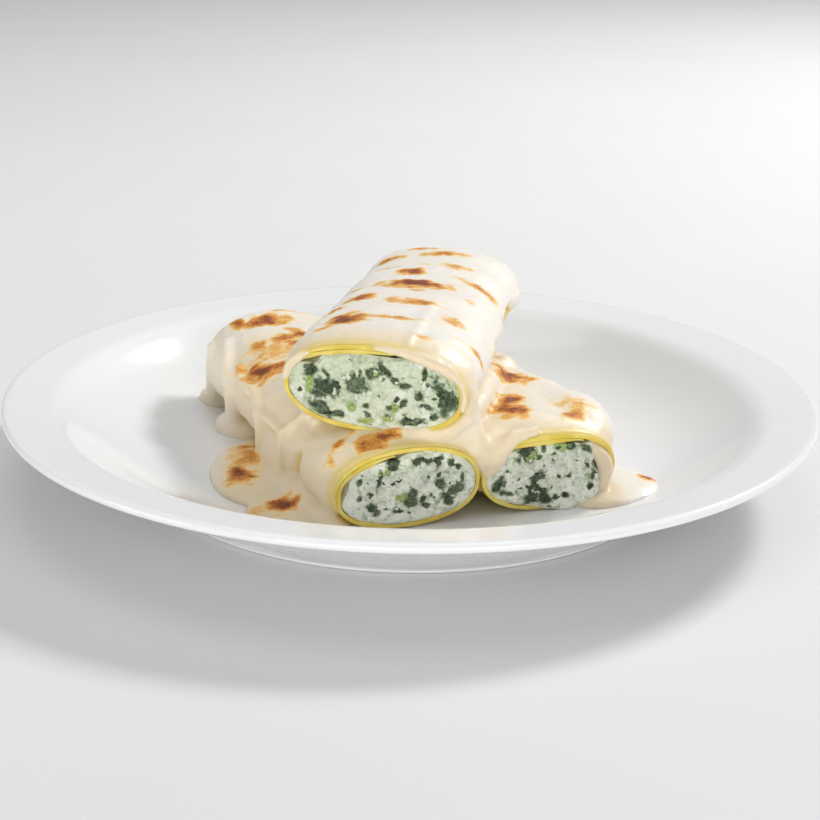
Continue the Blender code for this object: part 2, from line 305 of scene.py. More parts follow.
@dataclass
class Roll:
    """One filled roll: a squashed tube, carried from the front to the back end."""

    name: str
    front: tuple  # centre of the front cut, across and along the plate
    back: tuple
    half_width: tuple  # at the front and at the back
    half_height: tuple
    rests_at: tuple  # height of the roll's underside
    tilt: tuple  # turn about the roll's own axis, in degrees
    seam: float  # where the sheet's inner edge lies; angles start at the right and go over the top
    bow: float  # how far the middle stands out sideways
    coat_from: tuple  # degrees: the sauce's coat covers the section from here, at the front and at the back
    coat_to: float
    coat: tuple  # the coat's thickness

    def __post_init__(self):
        run = np.subtract(self.back, self.front)
        self.length = math.hypot(*run)
        self.along = np.append(run, 0) / self.length
        self.level = np.array([self.along[1], -self.along[0], 0])

    def section(self, t):
        """Centre, tilt and half sizes of the section at share t of the length."""
        bulge = self.bow * 4 * t * (1 - t)
        x = self.front[0] + self.along[0] * self.length * t + self.level[0] * bulge
        y = self.front[1] + self.along[1] * self.length * t + self.level[1] * bulge
        half_width, half_height = part_way(self.half_width, t), part_way(self.half_height, t)
        z = part_way(self.rests_at, t) + half_height
        return x, y, z, np.radians(part_way(self.tilt, t)), half_width, half_height

    def placed(self, t, sideways, upwards):
        """Points, given their distances from the section's centre."""
        x, y, z, tilt = self.section(t)[:4]
        out = sideways * np.cos(tilt) - upwards * np.sin(tilt)
        up = sideways * np.sin(tilt) + upwards * np.cos(tilt)
        return np.stack(np.broadcast_arrays(x + self.level[0] * out, y + self.level[1] * out, z + up), -1)

    def point(self, t, angle, inset=0.0):
        """Points of the squashed tube, moved in from its outer surface by inset.

        Sideways they lie at half the width times a power of the angle's cosine, and upwards at half
        the height times that power of its sine.
        """
        half_width, half_height = self.section(t)[4:]
        power = 2 / SQUARENESS
        cosine, sine = np.cos(angle), np.sin(angle)
        sideways = np.sign(cosine) * np.abs(cosine) ** power * (half_width - inset)
        upwards = np.sign(sine) * np.abs(sine) ** power * (half_height - inset)
        return self.placed(t, sideways, upwards)

    def within(self, t, x, y, z):
        """Distances of places from the centre of the section at t, and its half sizes."""
        cx, cy, cz, tilt, half_width, half_height = self.section(t)
        out, rise = (x - cx) * self.level[0] + (y - cy) * self.level[1], z - cz
        sideways = out * np.cos(tilt) + rise * np.sin(tilt)
        upwards = rise * np.cos(tilt) - out * np.sin(tilt)
        return sideways, upwards, half_width, half_height

    def seen_from(self, x, y, z):
        """Share of the length, angle, and distance out from the surface, for any places."""
        t = ((x - self.front[0]) * self.along[0] + (y - self.front[1]) * self.along[1]) / self.length
        sideways, upwards, half_width, half_height = self.within(np.clip(t, 0, 1), x, y, z)
        wide = np.abs(sideways / half_width) + 1e-6
        high = np.abs(upwards / half_height) + 1e-6
        half_power = SQUARENESS / 2
        angle = np.arctan2(np.sign(upwards) * high**half_power, np.sign(sideways) * wide**half_power)
        return t, angle, squashed_distance(wide, high, 1 / half_width, 1 / half_height, SQUARENESS)


LOWER_REST = FLOOR_TOP + 0.3
UPPER_REST = 27.2
LEFT = Roll(
    "left", front=(0.2, -55), back=(-41, 44), half_width=(18.3, 17.6), half_height=(9.8, 11.2),
    rests_at=(LOWER_REST, LOWER_REST + 1.3), tilt=(0, 0), seam=math.radians(100), bow=-0.5,
    coat_from=(5, 5), coat_to=215, coat=(1.7, 2.8),
)
RIGHT = Roll(
    "right", front=(34.0, -41.8), back=(-1.0, 50), half_width=(17.6, 17.0), half_height=(9.4, 10.1),
    rests_at=(LOWER_REST, LOWER_REST), tilt=(0, 0), seam=math.radians(60), bow=0.3,
    coat_from=(-35, -35), coat_to=175, coat=(2.4, 2.4),
)
TOP = Roll(
    "top", front=(-8.6, -48), back=(10.6, 51), half_width=(21.6, 19.5), half_height=(10.6, 10.3),
    rests_at=(UPPER_REST, UPPER_REST), tilt=(-3, 0.5), seam=math.radians(80), bow=0.6,
    coat_from=(-16, 4), coat_to=205, coat=(2.2, 2.4),
)
ROLLS = (LEFT, RIGHT, TOP)


def eased(value, start, end):
    """A soft step from 0 where the value is at its start to 1 where it is at its end."""
    share = np.clip((value - start) / (end - start), 0, 1)
    return share * share * (3 - 2 * share)


def scattered(*corner, seed):
    """A fixed random share, 0 to 1, for each whole-numbered corner: its bits, multiplied and mixed."""
    bits = np.full(np.broadcast_shapes(*map(np.shape, corner)), seed * 0x9E3779B9 + 1, np.uint64)
    for part, factor in zip(corner, (0x85EBCA77, 0xC2B2AE3D, 0x27D4EB2F)):
        bits = (bits ^ (np.asarray(part).astype(np.int64).astype(np.uint64) * np.uint64(factor)))
        bits = (bits * np.uint64(0x9E3779B1)) & np.uint64(0xFFFFFFFF)
        bits = bits ^ (bits >> np.uint64(15))
    bits = (bits * np.uint64(0x2C1B3C6D)) & np.uint64(0xFFFFFFFF)
    bits = bits ^ (bits >> np.uint64(13))
    return bits.astype(np.float64) / 0xFFFFFFFF


def unevenness(x, y, z, size, seed):
    """Smooth noise between about -1 and 1, with bumps of about a size.

    Each corner of a lattice has a random slope; a place gets the eight slopes' heights, blended by
    its eased position in the lattice's cell.
    """
    place = [np.asarray(part) / size for part in (x, y, z)]
    cell = [np.floor(part) for part in place]
    within = [part - whole for part, whole in zip(place, cell)]
    blend = [part**3 * (part * (6 * part - 15) + 10) for part in within]
    total = 0.0
    for corner in range(8):
        step = [corner >> axis & 1 for axis in range(3)]
        at = [whole + one for whole, one in zip(cell, step)]
        turn = scattered(*at, seed=seed) * FULL_TURN
        lift = scattered(*at, seed=seed + 101) * 2 - 1
        flat = np.sqrt(1 - lift * lift)
        slopes = (flat * np.cos(turn), flat * np.sin(turn), lift)
        height = sum(slope * (part - one) for slope, part, one in zip(slopes, within, step))
        total = total + height * math.prod(part if one else 1 - part for part, one in zip(blend, step))
    return total * 1.6  # brings it to about -1 to 1


def rough(x, y, z, *layers):
    """Layers of unevenness, added up; each is given by its height, its size and its seed."""
    return sum(height * unevenness(x, y, z, size, seed) for height, size, seed in layers)


def sheet_inset(turned):
    """How far the sheet's outer face lies inside the roll's surface, turned round from its inner edge.

    It is one layer deep under the sheet's other end, and rises to the surface as that end thins out.
    """
    rises = eased(turned, SHEET_OVERLAP - SHEET_WEDGE, SHEET_OVERLAP)
    inset = SHEET_PITCH + (THIN_EDGE - SHEET_PITCH) * rises
    return inset * eased(turned, SHEET_OVERLAP + SHEET_EASE, SHEET_OVERLAP)


def rolled_sheet(roll):
    """The sheet's lengthwise cut, carried round the roll from the sheet's inner edge to its outer one.

    The cut runs along the outer face and back along the inner one, round soft corners. The sheet is
    thin at its inner edge and pressed to a wedge at the outer one; its ends wander a little.
    """
    corner = np.radians(np.linspace(0, 90, 4))
    near, far = EDGE_ROUNDING * (1 - np.sin(corner)), EDGE_ROUNDING * (1 - np.cos(corner))
    flat = np.linspace(EDGE_ROUNDING, roll.length - EDGE_ROUNDING, 70)[1:-1]
    inner = SHEET_THICKNESS
    place = [near[::-1], flat, roll.length - near, roll.length - near[::-1], flat[::-1], near]
    depth = [far[::-1], flat * 0, far, inner - far[::-1], flat * 0 + inner, inner - far]
    place, depth_share = np.concatenate(place), np.concatenate(depth) / SHEET_THICKNESS

    last = FULL_TURN + SHEET_OVERLAP
    turned = np.linspace(0, last, 221)[:, None]
    full = np.minimum(eased(turned, 0, SHEET_EASE), eased(turned, last, last - SHEET_WEDGE))
    depth = depth_share * (THIN_EDGE + (SHEET_THICKNESS - THIN_EDGE) * full) + sheet_inset(turned)
    t, angle = place / roll.length, roll.seam + turned
    x, y, z = np.moveaxis(roll.point(t, angle, depth), -1, 0)
    wave = rough(x, y, z, (0.08, 7, 3)) + rough(x, y, z, (0.22, 5, 4)) * depth_share
    points = roll.point(t, angle, depth + wave)
    at_end = np.clip(1 - np.minimum(place, roll.length - place) / END_WANDER_REACH, 0, 1)
    wander = rough(x, y, z, (0.22, 6, 5), (0.10, 1.6, 6))
    points += (at_end * wander)[..., None] * roll.along
    rows, columns = points.shape[:2]
    one = np.arange(columns // 2 - 1)
    end = np.stack([one, one + 1, columns - 2 - one, columns - 1 - one], -1)
    other_end = end[:, ::-1] + (rows - 1) * columns
    return points, np.concatenate([quads(rows, columns, closed=True), end, other_end]).tolist()


def egg_pasta():
    dough = Finish("egg_pasta")
    cloud = dough.noise(5, detail=3)
    speck = dough.noise(0.7, detail=2)
    yellow = dough.mix(cloud.between(0.35, 0.65), (0.71, 0.52, 0.065), (0.79, 0.64, 0.15))
    return dough.surface(
        Base_Color=dough.mix(speck.between(0.6, 0.8) * 0.3, yellow, (0.70, 0.50, 0.08)),
        Roughness=0.30 + cloud * 0.15,
        Normal=dough.relief(speck, 0.06),
        Subsurface_Weight=0.35,
        Subsurface_Radius=(1.0, 0.6, 0.15),
        Subsurface_Scale=1.2 * MM,
        Specular_IOR_Level=0.5,
    )


pasta_finish = egg_pasta()
for roll in ROLLS:
    sheet, pasta = f"rolled_sheet_{roll.name}", f"pasta_{roll.name}"
    add_piece(sheet, *rolled_sheet(roll), pasta_finish, "egg_pasta", pasta)

# --- Filling ---
# Ricotta worked together with blanched, squeezed and roughly chopped spinach. It is piped onto the
# sheet before rolling, so it runs through, and breaks into curds where it is cut.

FILLING_RECESS = 0.5  # how far the filling stays behind the pasta's cut edge
FILLING_GAP = 0.05
CURD_SIZE = 3.3
SMALL_CURD_SIZE = CURD_SIZE / 2.3
CURD_SHARES = (0.68, 0.32)  # of the big curds and of the small ones in the relief
CURD_KEEP = 0.15  # a lump's middle keeps this far from its cell's sides, as a share of the cell
CURD_REACH = 0.72  # how far a lump reaches, in cells, squared
CURD_RELIEF = 2.1
CUT_LEVEL = 0.35  # share of the relief that lies behind the cut
RIM_WIDTH = 0.10  # over this share of a cut's radius the relief grows from its least, at the rim
RIM_RELIEF = 0.25
CUT_MARGIN = 2.6  # leaves are placed within the roll's half sizes less this
COVER_EDGE = 1.55  # a leaf greens the filling under it out to this many of its half sizes
COVER_FADE = 1.2  # and the green fades over this many
LEAF_PATCH = (0.42, 0.87)  # noise at which a patch of leaf in the filling starts, and where it is full
# painted light: the lower cut ends are made paler, as though better lit than the top one
PAINTED_LIGHT_HEIGHT, PAINTED_LIGHT_SPAN = 28.0, 30.0  # the ricotta is paler the further it lies under this height
SEAM_REACH = math.radians(12)  # the filling draws in this far before the sheet's inner edge
GAPS = {  # where the filling has drawn away from the sheet, or bulges over it: angle and reach round
    # the roll in degrees, how far inwards, how far along the roll and how far out of the cut
    "left": ((172, 24, 1.5, 5, 0),),
    "right": ((8, 46, 5.0, 5, 0), (-66, 44, -2.3, 2.6, 2.2)),
    "top": ((140, 13, 1.6, 4, 0),),
}
BIG_LEAVES = {  # shreds on the front cuts: middle as shares of the half sizes, length, width, turn in
    # degrees from level, and shade: 0 is dark green, 0.5 grey-green and 1 fresh green
    "top": (
        (-0.79, 0.40, 2.8, 2.3, 40, 0.1), (-0.80, -0.02, 4.6, 1.8, 82, 0.9),
        (-0.58, -0.06, 7.4, 3.6, -14, 0.05), (-0.67, -0.27, 4.6, 2.6, 10, 0.3),
        (-0.64, -0.72, 6.0, 3.0, -35, 0.35), (-0.60, 0.34, 2.2, 0.8, -50, 0.15),
        (-0.21, 0.13, 5.6, 4.4, 10, 0.45), (-0.03, 0.50, 3.4, 2.2, 30, 0.35),
        (0.14, 0.68, 4.6, 1.3, -48, 0.15), (0.28, 0.36, 2.8, 1.2, -45, 0.1), (0.39, 0.23, 2.6, 1.0, 0, 0.3),
        (0.63, 0.64, 3.4, 0.7, 88, 0.2), (0.92, 0.13, 9.2, 3.0, -50, 0.15),
        (0.90, -0.28, 5.2, 2.4, -76, 0.3), (0.70, 0.36, 3.0, 1.4, -10, 0.25),
        (0.58, -0.02, 2.1, 1.8, 0, 0.3), (0.39, -0.30, 1.9, 1.2, 60, 0), (0.22, -0.48, 1.8, 1.0, 0, 0.3),
        (0.51, -0.81, 5.6, 1.6, 8, 0.3), (-0.08, -0.49, 1.8, 0.9, 10, 0.3),
        (-0.04, -0.75, 1.6, 0.8, -20, 0.3), (0.20, -0.80, 2.6, 1.3, 10, 0.9),
        (-0.06, -0.93, 3.4, 1.5, 10, 0.85), (-0.26, -0.58, 1.8, 1.6, 0, 0.85),
        (0.28, -0.48, 2.6, 1.2, 80, 0.8), (-0.42, -0.85, 2.4, 1.4, -10, 0.3),
        (0.69, -0.31, 2.1, 0.7, -20, 0.3), (0.78, -0.57, 1.7, 1.2, 0, 0.3),
    ),
    "left": (
        (-0.25, 0.91, 3.1, 2.6, 60, 0.1), (-0.48, 0.45, 3.6, 0.8, 78, 0.2),
        (-0.80, 0.43, 1.2, 1.1, 0, 0.35), (0.11, 0.93, 3.0, 1.7, 10, 0.2), (0.27, 0.90, 3.0, 1.3, -5, 0.15),
        (0.45, 0.85, 2.2, 1.5, 10, 0.15), (0.66, 0.71, 1.5, 1.3, -60, 0.1),
        (0.79, 0.55, 1.4, 1.0, -40, 0.1), (0.51, 0.05, 2.4, 2.2, 0, 0.35), (0.68, -0.29, 6.4, 2.6, 33, 0.4),
        (0.62, -0.61, 3.2, 1.6, -15, 0.25), (0.04, -0.18, 2.4, 2.0, 20, 0.2),
        (0.01, -0.50, 3.0, 2.8, 0, 0.45), (0.22, -0.41, 2.1, 1.3, 80, 0.15),
        (-0.60, -0.50, 3.0, 1.8, -65, 0.3), (-0.52, -0.71, 1.7, 1.4, 0, 0.45),
        (-0.12, -0.28, 2.6, 1.5, 0, 0.8), (0.28, -0.67, 1.9, 1.0, -10, 0.3),
        (-0.81, -0.10, 1.2, 0.9, 80, 0.3), (-0.36, 0.60, 1.6, 1.3, 0, 0.85),
        (-0.20, -0.71, 2.2, 0.8, 0, 0.15), (0.86, 0.14, 2.3, 0.7, -85, 0.25),
    ),
    "right": (
        (-0.43, 0.85, 4.8, 4.2, 20, 0.12), (-0.35, 0.70, 3.2, 2.6, 30, 0.75),
        (-0.20, 0.62, 1.3, 1.1, 0, 0.2), (-0.13, 0.93, 1.5, 0.9, 80, 0.3), (0.14, 0.92, 2.1, 1.0, 0, 0.2),
        (0.33, 0.89, 2.7, 1.4, -5, 0.3), (0.65, 0.72, 2.8, 1.2, -35, 0.3), (0.05, 0.56, 2.2, 0.7, 85, 0.3),
        (-0.23, -0.28, 4.8, 3.4, 60, 0.3), (-0.31, -0.53, 3.6, 2.0, 55, 0.1),
        (-0.12, -0.58, 3.4, 2.0, -60, 0.1), (-0.33, -0.89, 4.2, 2.4, 10, 0.1),
        (-0.10, -0.93, 3.8, 2.3, -10, 0.1), (0.14, -0.19, 1.1, 1.0, 0, 0.15),
        (0.34, -0.19, 0.9, 0.8, 0, 0.15), (-0.90, -0.27, 4.0, 2.2, 75, 0.15),
        (0.0, -0.55, 0.9, 0.7, 0, 0.2), (0.27, -0.90, 1.6, 1.0, 0, 0.0), (0.08, -0.93, 1.2, 1.0, 60, 0.1),
        (0.78, -0.29, 2.3, 0.8, 85, 0.2), (0.71, -0.66, 1.6, 0.8, 40, 0.1), (0.18, 0.92, 3.2, 1.9, 0, 0.9),
        (-0.76, -0.59, 3.6, 0.8, -10, 0.3),
    ),
}


def filling_inset(turned):
    """The filling fills the sheet, and draws in before it reaches the sheet's inner edge."""
    drawn_in = SHEET_PITCH * eased(turned, FULL_TURN - SEAM_REACH, FULL_TURN)
    return np.maximum(sheet_inset(turned), drawn_in) + SHEET_THICKNESS + FILLING_GAP


def curds(x, y, z, size, seed):
    """Rounded lumps that press on each other: high at each lump's middle, 0 in the cracks.

    Every cell of a lattice holds one middle at a random spot; the height falls off as a ball's does
    with the distance to the nearest one.
    """
    place = [np.asarray(part) / size for part in (x, y, z)]
    cell = [np.floor(part) for part in place]
    nearest = np.inf
    for step in np.ndindex(3, 3, 3):
        at = [whole + one - 1 for whole, one in zip(cell, step)]
        apart = 0.0
        for axis, (corner, part) in enumerate(zip(at, place)):
            middle = corner + CURD_KEEP + (1 - 2 * CURD_KEEP) * scattered(*at, seed=seed + axis)
            apart = apart + (middle - part) ** 2
        nearest = np.minimum(nearest, apart)
    return np.sqrt(np.clip(1 - nearest / CURD_REACH, 0, 1))


def cut_relief(x, y, z):
    """How far the broken filling stands out of its cut, and its lumps: big curds, small ones and noise."""
    bent = rough(x, y, z, (0.6, 1.8, 22))
    big = curds(x + bent, y, z - bent, CURD_SIZE, seed=11)
    small = curds(x, y + bent, z + bent, SMALL_CURD_SIZE, seed=17)
    lump = CURD_SHARES[0] * big + CURD_SHARES[1] * small
    return CURD_RELIEF * (lump - CUT_LEVEL) + rough(x, y, z, (0.7, 6, 21), (0.22, 0.8, 23)), lump


def oval_reach(one, other, turn, half_length, half_width):
    """Distance from the middle of an oval, turned by degrees, as a share of its half sizes."""
    cosine, sine = math.cos(math.radians(turn)), math.sin(math.radians(turn))
    return np.hypot((one * cosine + other * sine) / half_length, (other * cosine - one * sine) / half_width)


def leaf_cover(roll, x, y, z):
    """How far leaves cover each place of the front cut, and the shade of the leaf that covers it most."""
    across, up, half_width, half_height = roll.within(0.0, x, y, z)
    frayed = rough(x, y, z, (0.5, 1.5, 34), (0.3, 0.7, 35))
    cover, shade = np.zeros(x.shape), np.full(x.shape, 0.25)
    for sideways, upwards, length, width, turn, leaf_shade in BIG_LEAVES[roll.name]:
        run = across - sideways * (half_width - CUT_MARGIN)
        lift = up - upwards * (half_height - CUT_MARGIN)
        reach = oval_reach(run, lift, turn, length / 2 + 0.2, width / 2 + 0.2)
        here = np.clip((COVER_EDGE - reach + frayed) / COVER_FADE, 0, 1)
        shade = np.where(here > cover, leaf_shade, shade)
        cover = np.maximum(cover, here)
    return cover, shade


def filling_core(roll, around=380, cap_rings=58, long_rings=60):
    """A closed skin: rings grow over the front cut, run along inside the sheet, and close behind.

    The curds' height moves the cuts' points along the roll. Marks say where there is leaf, its shade,
    how high a curd stands, and how pale the ricotta is: at random, and paler low down as painted light.
    """
    turned = np.linspace(FULL_TURN, 0, around, endpoint=False)
    angle = roll.seam + turned
    growing = np.linspace(0, 1, cap_rings + 1)[1:]
    share = np.concatenate([growing, np.ones(long_rings), growing[::-1]])[:, None]
    start, end = FILLING_RECESS / roll.length, 1 - FILLING_RECESS / roll.length
    along = np.linspace(start, end, long_rings)
    t = np.concatenate([np.full(cap_rings, start), along, np.full(cap_rings, end)])[:, None]
    inset, outwards = filling_inset(turned) + 0 * t, 0.0
    for middle, reach, inwards, deep, out in GAPS[roll.name]:
        away = np.abs((angle - math.radians(middle) + math.pi) % FULL_TURN - math.pi)
        near = eased(away, math.radians(reach), 0) * eased((t - start) * roll.length, deep, 0)
        inset = inset + inwards * near
        outwards = outwards + out * near * share**2
    edge = roll.point(t, angle, inset)
    middle = (roll.point(t, 0.0) + roll.point(t, math.pi)) / 2
    points = middle + (edge - middle) * share[..., None]
    x, y, z = np.moveaxis(points, -1, 0)
    height, lump = cut_relief(x, y, z)
    facing = np.where(t < 0.5, -1, 1) * ((share < 1) | (t <= start) | (t >= end))
    rim = eased(share, 1, 1 - RIM_WIDTH) * (1 - RIM_RELIEF) + RIM_RELIEF
    points += (facing * (height * rim + outwards))[..., None] * roll.along
    blotch = rough(x, y, z, (1, 2.6, 31), (0.6, 1.1, 32)) + 0.55 * (0.5 - lump)
    cover, shade = leaf_cover(roll, x, y, z)
    marks = {
        "leafy": np.maximum(eased(blotch, *LEAF_PATCH), cover * (facing < 0)),
        "curd": lump,
        # painted light: paler the lower it lies, besides the ricotta's own uneven tone
        "pale": 0.5 + rough(x, y, z, (0.5, 3.5, 33)) + (PAINTED_LIGHT_HEIGHT - z) / PAINTED_LIGHT_SPAN,
        "shade": shade,
    }
    marks = {name: np.append(mark, [mark[0].mean(), mark[-1].mean()]) for name, mark in marks.items()}
    return *carried_round(points, points[0].mean(0), points[-1].mean(0)), marks


def leaf_green(finish, vein):
    """Spinach's colour by the shade mark: dark green, grey-green where it is bruised, or fresh green."""
    shade = finish.mark("shade")
    patch = finish.noise(1.3, detail=3)
    dark = finish.mix(vein, (0.010, 0.022, 0.008), (0.055, 0.095, 0.028))
    grey = finish.mix(vein, (0.034, 0.055, 0.027), (0.17, 0.22, 0.12))
    fresh = finish.mix(vein, (0.20, 0.32, 0.05), (0.48, 0.58, 0.22))
    colour = finish.mix((shade + (patch - 0.5) * 1.3).between(0.05, 0.50), dark, grey)
    return finish.mix(shade.between(0.55, 0.85), colour, fresh)


def ricotta_and_spinach():
    curd = Finish("ricotta_and_spinach")
    leafy, high, pale = curd.mark("leafy"), curd.mark("curd"), curd.mark("pale")
    ragged = curd.noise(0.55, detail=3, roughness=0.65)
    milky = curd.noise(2.2, detail=3, roughness=0.6)
    grain = curd.noise(0.35, detail=2)
    # the pale mark: the ricotta's uneven tone, and painted light that makes the lower cut ends paler
    white = curd.mix(pale, (0.63, 0.68, 0.51), (0.85, 0.86, 0.76))
    white = curd.mix(milky.between(0.50, 0.68) * 0.75, white, (0.36, 0.44, 0.30))
    # painted shade: the cracks between curds are darkened to a deep grey-green
    white = curd.mix(high.between(0.0, 0.26), (0.27, 0.34, 0.19), white)
    stained = (leafy + (ragged - 0.5) * 0.9).between(0.0, 0.55)
    white = curd.mix(stained * 0.75, white, (0.37, 0.45, 0.26))
    mask = (leafy + (ragged - 0.5) * 0.6).between(0.28, 0.78)
    fresh = curd.noise(1.7, detail=2).between(0.64, 0.74) * (1 - mask) * 0.7
    tinted = curd.mix(fresh, white, (0.42, 0.52, 0.17))
    return curd.surface(
        Base_Color=curd.mix(mask, tinted, leaf_green(curd, ragged.between(0.35, 0.7))),
        Roughness=0.36 + grain * 0.2,
        Normal=curd.relief(grain, 0.12),
        Subsurface_Weight=0.25,
        Subsurface_Radius=(1.0, 0.8, 0.5),
        Subsurface_Scale=0.8 * MM,
    )


filling_finish = ricotta_and_spinach()
for roll in ROLLS:
    core, filling = f"ricotta_core_{roll.name}", f"filling_{roll.name}"
    points, faces, marks = filling_core(roll)
    add_piece(core, points, faces, filling_finish, "spinach_ricotta", filling, marks)

# --- Spinach and loose curds on the cuts ---
# The knife drags shreds of leaf and crumbs of ricotta to the surface. A shred is a thin crumpled
# blade, a crumb an uneven ball. Both are seated in the filling.

INSIDE_SHEET = 2.3  # leaves stay this far inside the roll
SMALL_LEAVES = 26  # more shreds on each cut
BACK_LEAVES = 16  # the far cuts' own bigger shreds
CRUMBS = 42
LEAF_GRID = (8, 8)  # rings and points round a shred
CRUMB_GRID = (5, 8)
BLADE_THICKNESS = 0.16
BLADE_POINTS = 0.45  # power of the blade's width: the lower it is, the blunter are its two ends
TIP_REACH = 1.1  # the blade's tips lie this much further out than its last rings
DRAG = 0.16  # noise drags a blade's points this far, as a share of its length and width
TORN_OFF = (0.025, 0.04)  # how far a torn shred lies off, as shares of the half sizes for each mm of leaf
LEAF_SEAT = 0.55  # share of the filling's relief that leaves follow
LEAF_LIFT = 0.30  # leaves lie this much further out
CRUMB_SEAT = 0.9  # share of the relief that crumbs follow
CRUMB_SPREAD = 0.85  # crumbs lie on this share of a cut's half sizes


def joined(points, grid):
    """Many like pieces as one mesh: points are (piece, point, 3), and each piece has a ball's faces."""
    pieces, count = points.shape[:2]
    faces = carried_round(np.zeros((*grid, 3)), (0, 0, 0), (0, 0, 0))[1]
    every = [[corner + piece * count for corner in face] for piece in range(pieces) for face in faces]
    return points.reshape(-1, 3), every


def on_cut(roll, at_back, sideways, upwards):
    """Places on a cut end, given as shares of the half sizes."""
    recess = FILLING_RECESS / roll.length
    t = 1 - recess if at_back else recess
    half_width, half_height = roll.section(t)[4:]
    return roll.placed(t, sideways * (half_width - CUT_MARGIN), upwards * (half_height - CUT_MARGIN))


def spread_over_oval(count, random, seed=None):
    """Random shares of the half sizes, even over the oval, or gathered where smooth noise is high."""
    tries = count * 8
    angle, reach = random.uniform(0, FULL_TURN, tries), np.sqrt(random.uniform(0, 1, tries))
    sideways, upwards = reach * np.cos(angle), reach * np.sin(angle)
    if seed is not None:
        liked = rough(sideways, upwards / 2, 0.5, (1, 0.34, seed)) + random.uniform(-0.25, 0.25, tries)
        chosen = np.sort(np.argsort(-liked)[: 2 * count])
        sideways, upwards = sideways[chosen], upwards[chosen]
    return sideways[:count], upwards[:count]


def leaf_shreds(roll, at_back, random):
    """The shreds of one cut, as the columns of the table of leaves: given ones, torn ones and small ones.

    A torn shred lies on each given leaf, smaller and turned another way.
    """
    big = np.zeros((6, 0)) if at_back else np.array(BIG_LEAVES[roll.name]).T
    few, given = SMALL_LEAVES + BACK_LEAVES * at_back, big.shape[1]
    sideways, upwards = spread_over_oval(few, random, seed=int(random.integers(1000)))
    length, shade = random.gamma(2.4, 0.4, few) + 0.5, random.choice([0.0, 0.1, 0.3, 0.5, 0.9, 0.9], few)
    if at_back:
        length[:BACK_LEAVES] = random.uniform(3.5, 6.5, BACK_LEAVES)
    width = length * random.uniform(0.3, 0.7, few)
    small = [sideways, upwards, length, width, random.uniform(0, 180, few), shade]
    size, off = random.uniform(0.45, 0.75, given), random.uniform(-1, 1, (2, given))
    torn = [big[axis] + off[axis] * big[2] * TORN_OFF[axis] for axis in (0, 1)]
    torn += [big[2] * size, big[3] * size]
    torn += [big[4] + random.uniform(-50, 50, given), big[5] + random.uniform(-0.1, 0.35, given)]
    return np.concatenate([big, torn, small], axis=1)


def leaves_on(roll, at_back, random):
    """Torn blades: an outline that narrows to both ends and a thin oval section, dragged by noise.

    They lie over the broken filling, so each point stands out by its relief and a little of their own.
    """
    sideways, upwards, length, width, turn, shade = leaf_shreds(roll, at_back, random)[:, :, None]
    middle = on_cut(roll, at_back, sideways, upwards)
    middle_of_cut = on_cut(roll, at_back, 0.0, 0.0)
    rows, columns = LEAF_GRID
    u = np.repeat(np.linspace(-1, 1, rows + 2)[1:-1], columns)
    v = np.tile(np.linspace(0, FULL_TURN, columns, endpoint=False), rows)
    lengthwise = np.append(u, [u[0] * TIP_REACH, u[-1] * TIP_REACH]) * length / 2
    crosswise = np.append((1 - u**2) ** BLADE_POINTS * np.cos(v), [0, 0]) * width / 2
    through = np.append(np.sin(v) * BLADE_THICKNESS, [0, 0])

    cosine, sine = np.cos(np.radians(turn))[..., None], np.sin(np.radians(turn))[..., None]
    upright, outwards = np.array([0.0, 0.0, 1.0]), roll.along if at_back else -roll.along
    one, two = cosine * roll.level + sine * upright, cosine * upright - sine * roll.level
    spread = middle + lengthwise[..., None] * one + crosswise[..., None] * two
    x, y, z = np.moveaxis(spread, -1, 0)
    reach = (length + width) * DRAG
    fine = rough(x, y, z, (0.30, 0.7, 55))
    drag_one = rough(x, y, z, (1, 1.6, 53)) * reach + fine
    drag_two = rough(x, y, z, (1, 1.3, 54)) * reach - fine
    spread = spread + drag_one[..., None] * one + drag_two[..., None] * two
    out = roll.seen_from(*np.moveaxis(spread, -1, 0))[2]
    inwards = middle_of_cut - spread
    inwards = inwards / np.linalg.norm(inwards, axis=-1, keepdims=True)
    spread = spread + np.clip(out + INSIDE_SHEET, 0, None)[..., None] * inwards
    x, y, z = np.moveaxis(spread, -1, 0)
    own = rough(x, y, z, (0.55, 2.6, 51), (0.3, 0.9, 52))
    lift = LEAF_SEAT * cut_relief(x, y, z)[0] + LEAF_LIFT + own
    points = spread + lift[..., None] * outwards + through[:, None] * np.cross(one, two)
    return points, np.broadcast_to(shade, points.shape[:2])


def crumbs_on(roll, at_back, random):
    """Uneven balls: the radius of each direction swells and shrinks with noise."""
    sideways, upwards = CRUMB_SPREAD * np.array(spread_over_oval(CRUMBS, random))
    size = random.gamma(2.2, 0.16, CRUMBS) + 0.22
    middle = on_cut(roll, at_back, sideways, upwards)
    outwards = roll.along if at_back else -roll.along
    seat = CRUMB_SEAT * cut_relief(*middle.T)[0] + random.uniform(-0.2, 0.3, CRUMBS)
    middle = middle + seat[:, None] * outwards
    rows, columns = CRUMB_GRID
    polar = np.linspace(0, math.pi, rows + 2)[1:-1][:, None]
    turn = np.linspace(FULL_TURN, 0, columns, endpoint=False)
    x, y = np.sin(polar) * np.cos(turn), np.sin(polar) * np.sin(turn)
    ring = np.stack([x, y, np.cos(polar) + 0 * turn], -1)
    ball = np.concatenate([ring.reshape(-1, 3), [[0, 0, 1], [0, 0, -1]]])
    middle = middle[:, None]
    points = middle + ball * size[:, None, None] * random.uniform(0.5, 1.5, (CRUMBS, 1, 3))
    x, y, z = np.moveaxis(points, -1, 0)
    swell = 1 + rough(x, y, z, (0.7, 0.9, 61), (0.35, 0.4, 62))
    return middle + (points - middle) * np.clip(swell, 0.3, 1.6)[..., None]


